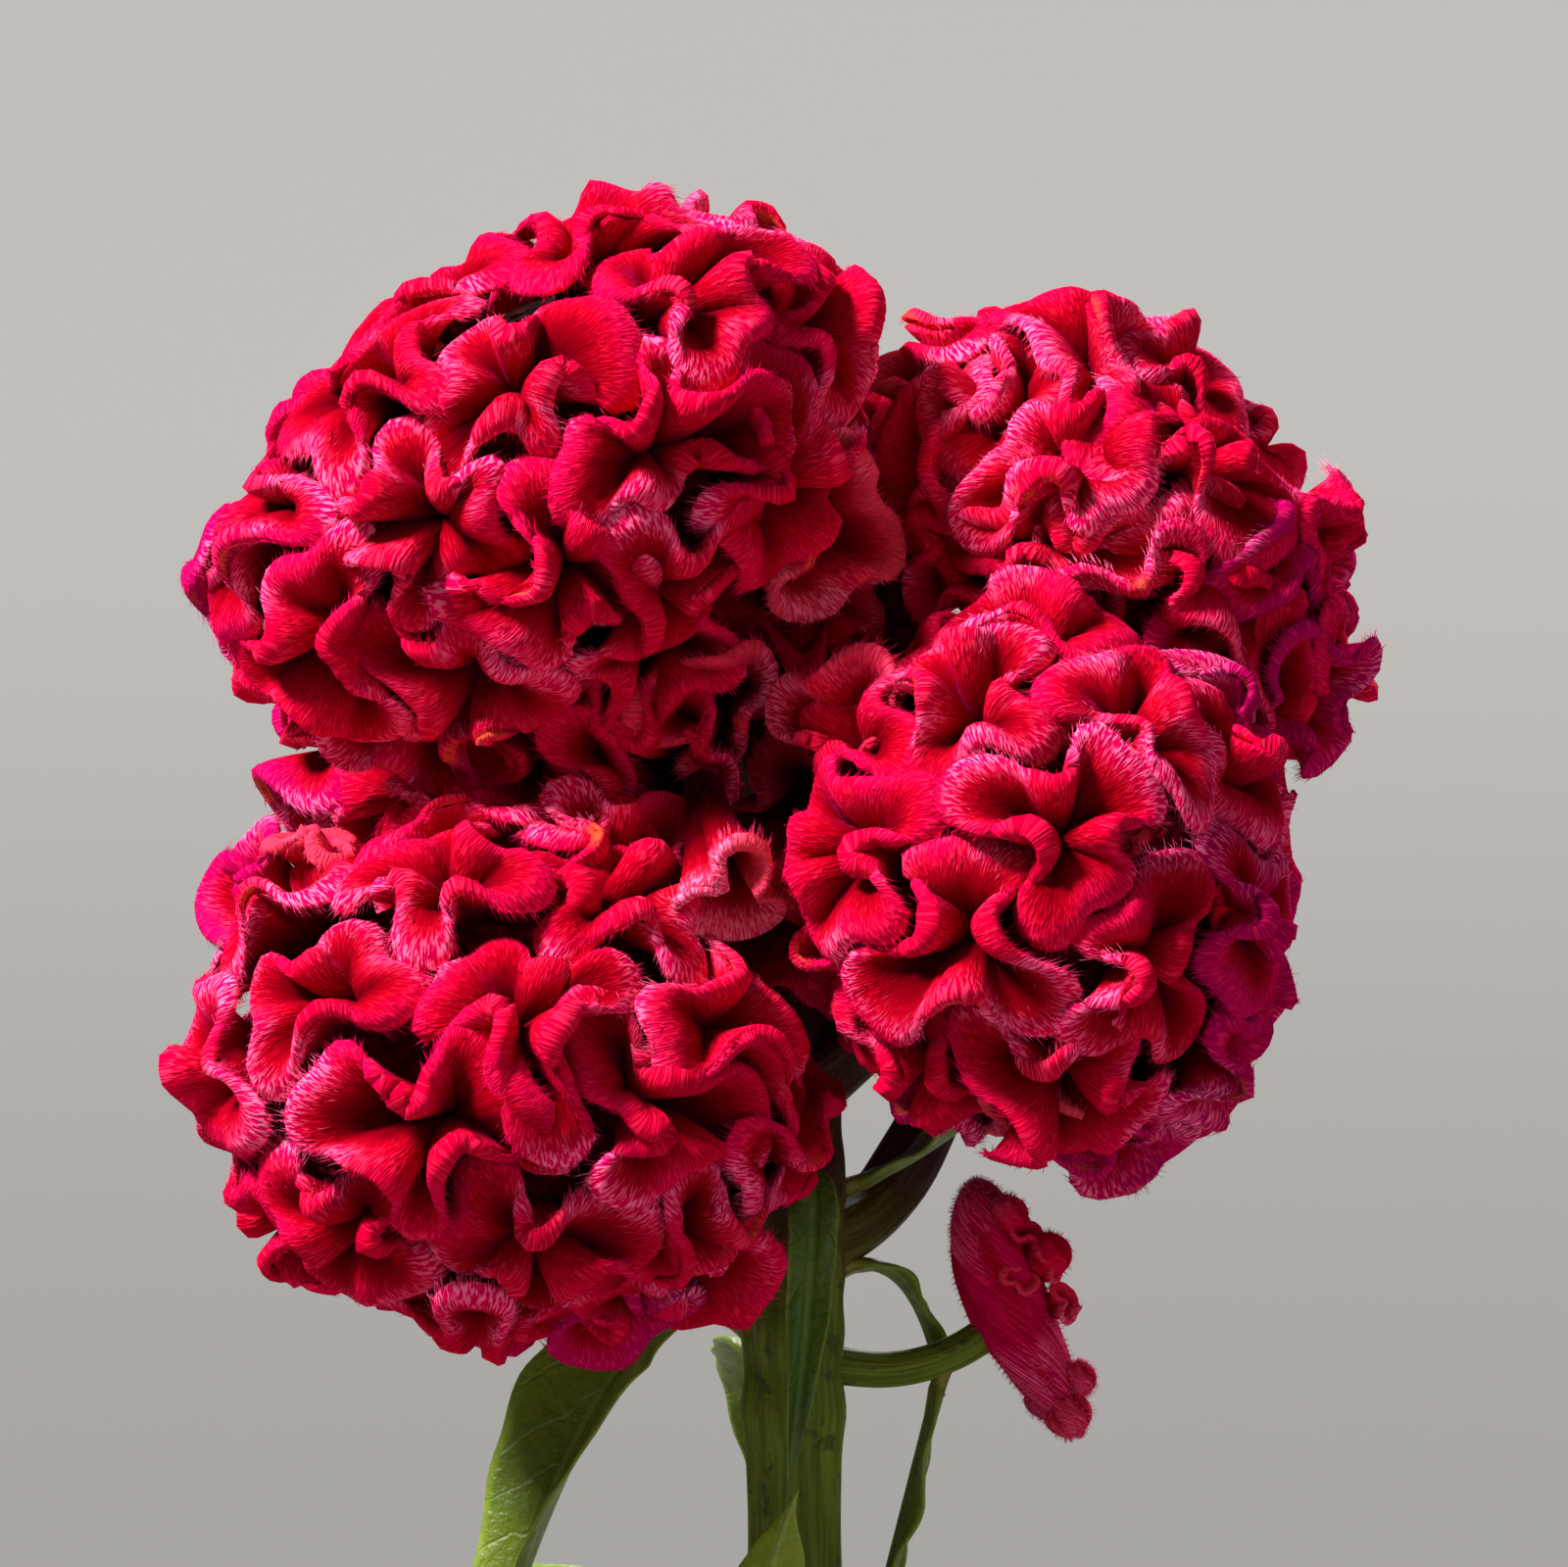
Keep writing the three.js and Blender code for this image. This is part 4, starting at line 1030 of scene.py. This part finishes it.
def spinProfile(profile, steps):
    bm = bmesh.new()
    line = [bm.verts.new((radius * mm, 0, height * mm)) for radius, height in profile]
    edges = [bm.edges.new(pair) for pair in zip(line, line[1:])]
    bmesh.ops.spin(bm, geom=line + edges, cent=(0, 0, 0), axis=(0, 0, 1), angle=fullTurn, steps=steps,
                   use_merge=True)
    bmesh.ops.remove_doubles(bm, verts=bm.verts, dist=weldDistance)
    bmesh.ops.recalc_face_normals(bm, faces=bm.faces)
    return bm


def potProfile():
    height, rim, wall = potShape["height"], potShape["rim"], potShape["wall"]
    foot, body, floor = potShape["foot"], potShape["shoulder"], potShape["floor"]
    shoulder = height - potShape["rimHeight"]
    profile = [(0, 0), (foot - 2.2, 0), (foot - 0.7, 0.5), (foot, 2.0)]
    for k in range(1, potShape["ripples"]):
        share = k / potShape["ripples"]
        ripple = potShape["ripple"] * (k % 2)
        profile.append((foot + (body - foot) * share - ripple, 2 + (shoulder - 2.6) * share))
    inside = innerPotRadius(floor)
    return profile + [
        (body - 0.2, shoulder - 0.5), (body + 0.6, shoulder), (rim - 1.2, shoulder + 0.1),
        (rim - 0.3, shoulder + 0.7), (rim - 0.1, shoulder + 2.2), (rim - 0.5, shoulder + 9),
        (rim - 0.45, height - 8), (rim - 0.05, height - 4), (rim, height - 2.4), (rim - 0.6, height - 0.8),
        (rim - 2, height), (rim - wall + 2, height), (rim - wall + 0.6, height - 0.7),
        (rim - wall, height - 2.2), (innerPotRadius(shoulder), shoulder), (innerPotRadius(40), 40),
        (inside - 1, floor + 0.3), (inside - 3, floor), (0, floor)]


def potMesh():
    body = addObject("potBody", plainMesh(spinProfile(potProfile(), potShape["steps"]), "pot"))
    cutters = bmesh.new()
    radius, circle = potShape["holeRadius"] * mm, potShape["holeCircle"] * mm
    for k in range(potShape["holes"]):
        turn = fullTurn * k / potShape["holes"] + 0.5
        place = Matrix.Translation((circle * math.cos(turn), circle * math.sin(turn), 0.0035))
        bmesh.ops.create_cone(cutters, cap_ends=True, segments=40, radius1=radius, radius2=radius, depth=0.02,
                              matrix=place)
    cutter = addObject("cutter", plainMesh(cutters, "cutter"))
    cut = body.modifiers.new("holes", "BOOLEAN")
    cut.operation = "DIFFERENCE"
    cut.solver = "EXACT"
    cut.object = cutter
    bpy.context.view_layer.update()
    done = bpy.data.meshes.new_from_object(body.evaluated_get(bpy.context.evaluated_depsgraph_get()))
    bpy.data.objects.remove(body)
    bpy.data.objects.remove(cutter)
    return done


# Potting soil with crumbs and perlite
soilShape = dict(
    top=105, bottom=92, hole=5.0, bump=1.5, grain=0.9, rings=34, steps=150,
    nearest=9, farthest=55, edge=55.5,  # where crumbs lie, and the soil's edge
    crumbs=760, crumbSizes=(0.7, 2.6), perlite=70, perliteSizes=(0.9, 2.2), seed=5,
)


def soilHeight(x, y):
    radius = math.hypot(x, y)
    broad = math.sin(0.21 * x + 0.9) * math.cos(0.17 * y) + 0.7 * math.sin(0.43 * y + 0.31 * x)
    fine = noise.noise(Vector((x * 0.35, y * 0.35, 0))) + 0.6 * noise.noise(Vector((x * 0.9, y * 0.9, 7)))
    uneven = soilShape["bump"] * 0.8 * broad + soilShape["grain"] * fine
    return soilShape["top"] + uneven * min(1, max(0, radius - 5) / 10)


def soilMesh():
    top, bottom, hole, count = (soilShape[key] for key in ("top", "bottom", "hole", "rings"))
    outer = innerPotRadius(top - 1) - 0.15
    rings = [(hole + (outer - hole) * k / count, top) for k in range(count + 1)]
    bm = spinProfile([(hole, bottom)] + rings + [(outer - 2, bottom), (hole, bottom)], soilShape["steps"])
    for vertex in bm.verts:
        if vertex.co.z > 0.1:
            vertex.co.z = soilHeight(vertex.co.x / mm, vertex.co.y / mm) * mm
    return weldedMesh(bm, "soil")


def crumbMesh(name, count, sizes, rng):
    bm = bmesh.new()
    smallest, largest = sizes
    for _ in range(count):
        radius = math.sqrt(rng.uniform(soilShape["nearest"] ** 2, soilShape["farthest"] ** 2))
        turn = rng.uniform(0, fullTurn)
        size = smallest + (largest - smallest) * rng.uniform() ** 2.5
        x, y = radius * math.cos(turn), radius * math.sin(turn)
        inward = soilShape["edge"] - size
        if radius > inward:
            x, y = x * inward / radius, y * inward / radius
        z = soilHeight(x, y) + size * 0.2
        spin = Matrix.Rotation(rng.uniform(0, 6.28), 4, Vector(rng.normal(size=3)).normalized())
        squash = Matrix.Diagonal((*(size * mm * rng.uniform(0.6, 1.1, 3)), 1))
        place = Matrix.Translation((x * mm, y * mm, z * mm)) @ spin @ squash
        made = bmesh.ops.create_icosphere(bm, subdivisions=1, radius=1, matrix=place)
        for vertex in made["verts"]:
            vertex.co += (vertex.co - place.translation) * float(rng.uniform(-0.2, 0.2))
    bmesh.ops.recalc_face_normals(bm, faces=bm.faces)
    return plainMesh(bm, name)


# Finishes for the plant's green parts, the pot and the soil
greenLook = dict(
    stemDark=(76, 92, 14), stemPale=(112, 126, 34), stemCloud=(66, 84, 14), stemSpot=(44, 58, 24),
    # the stem's flush near the head is partly its own red and partly painted shade from the head above
    stemFlushAndShade=(56, 5, 14), stemFoot=(110, 62, 44),
    leafDark=(42, 66, 12), leafPale=(74, 100, 20), leafBright=(150, 166, 30), leafMargin=(156, 176, 72),
    leafVein=(150, 168, 84), leafSpeckle=(48, 76, 26), leafRosy=(140, 70, 52),
)
groundLook = dict(
    clayDark=(176, 92, 58), clayPale=(200, 116, 78), claySpeckle=(150, 74, 46),
    lime=(226, 208, 190), damp=(120, 62, 42),
    soilDark=(46, 31, 22), soilPale=(84, 60, 42), soilSpeckle=(28, 19, 14),
    perliteDark=(206, 200, 188), perlitePale=(236, 233, 226), perliteSpeckle=(150, 138, 120),
)


def wearGroup():
    inputs = (("Vector", "Vector"), ("Fine", "Float"), ("Broad", "Float"))
    group, ins, outs = nodeGroup("speckle and cloud", inputs, ("Speckle", "Cloud"))
    where = ins.outputs["Vector"]
    fine = addNode(group, "TexNoise", Vector=where, Scale=ins.outputs["Fine"], Detail=3.0, Roughness=0.6)
    broad = addNode(group, "TexNoise", Vector=where, Scale=ins.outputs["Broad"], Detail=4.0, Roughness=0.55)
    group.links.new(mapRange(group, fine.outputs[0], 0.3, 0.7), outs.inputs["Speckle"])
    group.links.new(mapRange(group, broad.outputs[0], 0.35, 0.65), outs.inputs["Cloud"])
    return group


wear = wearGroup()


def startFinish(name, fine, broad):
    material, tree, shader = newMaterial(name)
    marks = placeGroup(tree, wear, Vector=objectPlace(tree), Fine=fine, Broad=broad)
    return material, tree, shader, marks["Speckle"], marks["Cloud"]


def terracottaMaterial():
    material, tree, shader, speckle, cloud = startFinish("terracotta", 900.0, 28.0)
    look = groundLook
    where = objectPlace(tree)
    height = separate(tree, where)[2]
    base = mixColour(tree, cloud, look["clayDark"], look["clayPale"])
    base = mixColour(tree, multiply(tree, speckle, 0.35), base, look["claySpeckle"])
    patchy = addNode(tree, "TexNoise", Vector=where, Scale=46.0, Detail=6.0, Roughness=0.65).outputs[0]
    lime = multiply(tree, mapRange(tree, patchy, 0.5, 0.7), mapRange(tree, height, 0.055, 0.112))
    lowLime = multiply(tree, mapRange(tree, patchy, 0.52, 0.66), mapRange(tree, height, 0.022, 0.004))
    bloom = multiply(tree, maths(tree, "ADD", lime, lowLime, clamp=True), 0.62)
    base = mixColour(tree, bloom, base, look["lime"])
    base = mixColour(tree, multiply(tree, mapRange(tree, height, 0.05, 0.0), 0.35), base, look["damp"])
    rings = addNode(tree, "CombineXYZ", input2=multiply(tree, height, 900.0))
    turned = addNode(tree, "TexNoise", Vector=rings.outputs[0], Scale=1.0, Detail=2.0).outputs[0]
    rough = maths(tree, "ADD", multiply(tree, turned, 0.8), multiply(tree, speckle, 0.6))
    addBump(tree, shader, 0.5, 0.0004, rough)
    fillInputs(tree, shader, {"Base Color": base, "Roughness": mapRange(tree, cloud, 0, 1, 0.78, 0.92),
                              "Specular IOR Level": 0.3})
    return material


def soilMaterial():
    material, tree, shader, speckle, cloud = startFinish("potting soil", 1600.0, 160.0)
    base = mixColour(tree, cloud, groundLook["soilDark"], groundLook["soilPale"])
    base = mixColour(tree, multiply(tree, speckle, 0.5), base, groundLook["soilSpeckle"])
    addBump(tree, shader, 0.9, 0.0009, maths(tree, "ADD", speckle, cloud))
    fillInputs(tree, shader, {"Base Color": base, "Roughness": 0.95, "Specular IOR Level": 0.2})
    return material


def perliteMaterial():
    material, tree, shader, speckle, cloud = startFinish("perlite", 2400.0, 500.0)
    base = mixColour(tree, cloud, groundLook["perliteDark"], groundLook["perlitePale"])
    base = mixColour(tree, multiply(tree, speckle, 0.4), base, groundLook["perliteSpeckle"])
    fillInputs(tree, shader, {"Base Color": base, "Roughness": 0.9})
    return material


def stemMaterial():
    material, tree, shader, speckle, cloud = startFinish("stem green", 420.0, 70.0)
    look = greenLook
    parts = uvParts(tree, "UVMap")
    height = separate(tree, objectPlace(tree))[2]
    stretched = addNode(tree, "CombineXYZ", input0=parts[0], input1=multiply(tree, parts[1], 0.06))
    fibres = addNode(tree, "TexNoise", Vector=stretched.outputs[0], Scale=1.1, Detail=3.0).outputs[0]
    stripes = mapRange(tree, fibres, 0.35, 0.65)
    base = mixColour(tree, stripes, look["stemDark"], look["stemPale"])
    base = mixColour(tree, multiply(tree, cloud, 0.4), base, look["stemCloud"])
    base = mixColour(tree, multiply(tree, mapRange(tree, speckle, 0.78, 1.0), 0.7), base, look["stemSpot"])
    # a dark reddish flush under the head: partly the stem's own red, partly painted shade cast by the head
    flushAndShade = multiply(tree, mapRange(tree, height, 0.194, 0.212), mapRange(tree, cloud, 0, 1, 0.8, 1.0))
    base = mixColour(tree, flushAndShade, base, look["stemFlushAndShade"])
    base = mixColour(tree, multiply(tree, mapRange(tree, height, 0.122, 0.104), 0.6), base, look["stemFoot"])
    addBump(tree, shader, 0.35, 0.0004, maths(tree, "ADD", stripes, speckle))
    fillInputs(tree, shader, {"Base Color": base, "Roughness": 0.6, "Specular IOR Level": 0.25})
    return material


def leafMaterial():
    material, tree, shader, speckle, cloud = startFinish("leaf green", 700.0, 60.0)
    look = greenLook
    parts, marks = uvParts(tree, "UVMap"), uvParts(tree, "marks")
    off, along = maths(tree, "ABSOLUTE", parts[0]), parts[1]
    across, tint = marks[0], marks[1]
    base = mixColour(tree, cloud, look["leafDark"], look["leafPale"])
    base = mixColour(tree, multiply(tree, tint, 0.75), base, look["leafBright"])
    base = mixColour(tree, multiply(tree, mapRange(tree, across, 0.8, 1.0), 0.4), base, look["leafMargin"])
    slanted = maths(tree, "SUBTRACT", multiply(tree, along, 0.179), multiply(tree, off, 0.214))
    slanted = maths(tree, "ADD", slanted, multiply(tree, cloud, 0.5))
    sideVein = mapRange(tree, maths(tree, "PINGPONG", slanted, 0.5), 0.07, 0.0)
    veins = maths(tree, "MAXIMUM", multiply(tree, sideVein, 0.55), mapRange(tree, off, 0.75, 0.25))
    shown = mapRange(tree, tint, 0, 1, 0.16, 0.7)
    base = mixColour(tree, multiply(tree, veins, shown), base, look["leafVein"])
    base = mixColour(tree, multiply(tree, speckle, 0.22), base, look["leafSpeckle"])
    base = mixColour(tree, multiply(tree, mapRange(tree, along, 6.0, 0.0), 0.35), base, look["leafRosy"])
    addBump(tree, shader, 0.4, 0.0003, maths(tree, "SUBTRACT", speckle, multiply(tree, veins, 2.0)))
    fillInputs(tree, shader, {
        "Base Color": base, "Roughness": mapRange(tree, speckle, 0, 1, 0.38, 0.52), "Specular IOR Level": 0.3,
        "Subsurface Weight": 0.12, "Subsurface Radius": (0.0008, 0.0012, 0.0003), "Subsurface Scale": 1.0})
    return material


rng = np.random.default_rng(soilShape["seed"])
finishPiece("pot_body", potMesh(), terracottaMaterial(), ["pot"])
soilFinish = soilMaterial()
finishPiece("soil_bed", soilMesh(), soilFinish, ["soil"])
crumbs = crumbMesh("soil_crumbs", soilShape["crumbs"], soilShape["crumbSizes"], rng)
finishPiece("soil_crumbs", crumbs, soilFinish, smooth=False)
perlite = crumbMesh("soil_perlite", soilShape["perlite"], soilShape["perliteSizes"], rng)
finishPiece("soil_perlite", perlite, perliteMaterial(), smooth=False)
print("pot and soil made")
leafFinish = leafMaterial()
for number, leaf in enumerate(leaves, 1):
    name = f"leaf_{number:02d}"
    finishPiece(name + "_blade", leafMesh(leaf, number), leafFinish, [name])
joints = [leaf["height"] for leaf in leaves if "height" in leaf]
finishPiece("stem_ribbed", stemMesh(joints), stemMaterial(), ["stem"])
print("stem and leaves made")


# Floor, light and camera, in metres
studio = dict(
    radius=2.4, wallHigh=2.6, curve=0.7, curveSteps=12, steps=96, surface=(140, 137, 133),
    glow=(232, 230, 226), glowLow=0.38, glowHigh=0.54, glowHeight=0.4,
    head=(0, -0.01, 0.25), world=(0.9, 0.93, 1.0, 1), worldStrength=0.15,
    lights=(  # place, width, watts, colour
        ("key", (-0.62, -0.4, 0.98), 0.24, 31, (1.0, 0.97, 0.93)),
        ("fill", (0.8, -1.0, 0.5), 1.0, 2.6, (1, 1, 1)),
        ("back", (0.3, 0.75, 0.8), 0.5, 15, (1, 1, 1)),
    ),
    camera=(-0.0014, -0.76, 0.25), lens=176.3, sensor=36, nearest=0.05,
)


# A round floor that curves up into a wall, plain and pale
def backdrop():
    radius, curve, count = studio["radius"], studio["curve"], studio["curveSteps"]
    profile = [(0, 0), (radius - curve, 0)]
    for k in range(1, count + 1):
        turn = math.pi / 2 * k / count
        profile.append((radius - curve + curve * math.sin(turn), curve * (1 - math.cos(turn))))
    profile.append((radius, studio["wallHigh"]))
    bm = spinProfile([(across / mm, height / mm) for across, height in profile], studio["steps"])
    if sum(face.normal.z for face in bm.faces) < 0:
        bmesh.ops.reverse_faces(bm, faces=bm.faces)
    mesh = plainMesh(bm, "backdrop")
    mesh.polygons.foreach_set("use_smooth", [True] * len(mesh.polygons))
    floor = addObject("backdrop", mesh)
    material, tree, shader = newMaterial("pale floor")
    height = separate(tree, objectPlace(tree))[2]
    glow = mapRange(tree, height, 0.0, studio["glowHeight"], studio["glowLow"], studio["glowHigh"])
    seen = multiply(tree, addNode(tree, "LightPath").outputs["Is Camera Ray"], glow)
    fillInputs(tree, shader, {"Base Color": linear(*studio["surface"]), "Roughness": 0.9,
                              "Emission Color": linear(*studio["glow"]), "Emission Strength": seen})
    # a camera behind the backdrop looks through it
    outside = addNode(tree, "NewGeometry").outputs["Backfacing"]
    clear = addNode(tree, "BsdfTransparent")
    both = addNode(tree, "MixShader", input0=outside, input1=shader.outputs[0], input2=clear.outputs[0])
    tree.links.new(both.outputs[0], tree.nodes["Material Output"].inputs[0])
    mesh.materials.append(material)


def areaLight(name, place, width, power, colour):
    data = bpy.data.lights.new(name, "AREA")
    data.shape = "DISK"
    data.size = width
    data.energy = power
    data.color = colour
    light = addObject(name, data)
    light.location = place
    light.rotation_euler = (Vector(studio["head"]) - Vector(place)).to_track_quat("-Z", "Y").to_euler()


backdrop()
for settings in studio["lights"]:
    areaLight(*settings)
world = bpy.data.worlds.new("studio")
world.use_nodes = True
world.node_tree.nodes["Background"].inputs[0].default_value = studio["world"]
world.node_tree.nodes["Background"].inputs[1].default_value = studio["worldStrength"]
bpy.context.scene.world = world
bpy.context.scene.view_settings.view_transform = "Standard"

cameraData = bpy.data.cameras.new("camera")
cameraData.lens = studio["lens"]
cameraData.sensor_width = studio["sensor"]
cameraData.clip_start = studio["nearest"]
camera = addObject("camera", cameraData)
camera.location = studio["camera"]
camera.rotation_euler = (math.radians(90), 0, 0)
bpy.context.scene.camera = camera
print("studio ready")
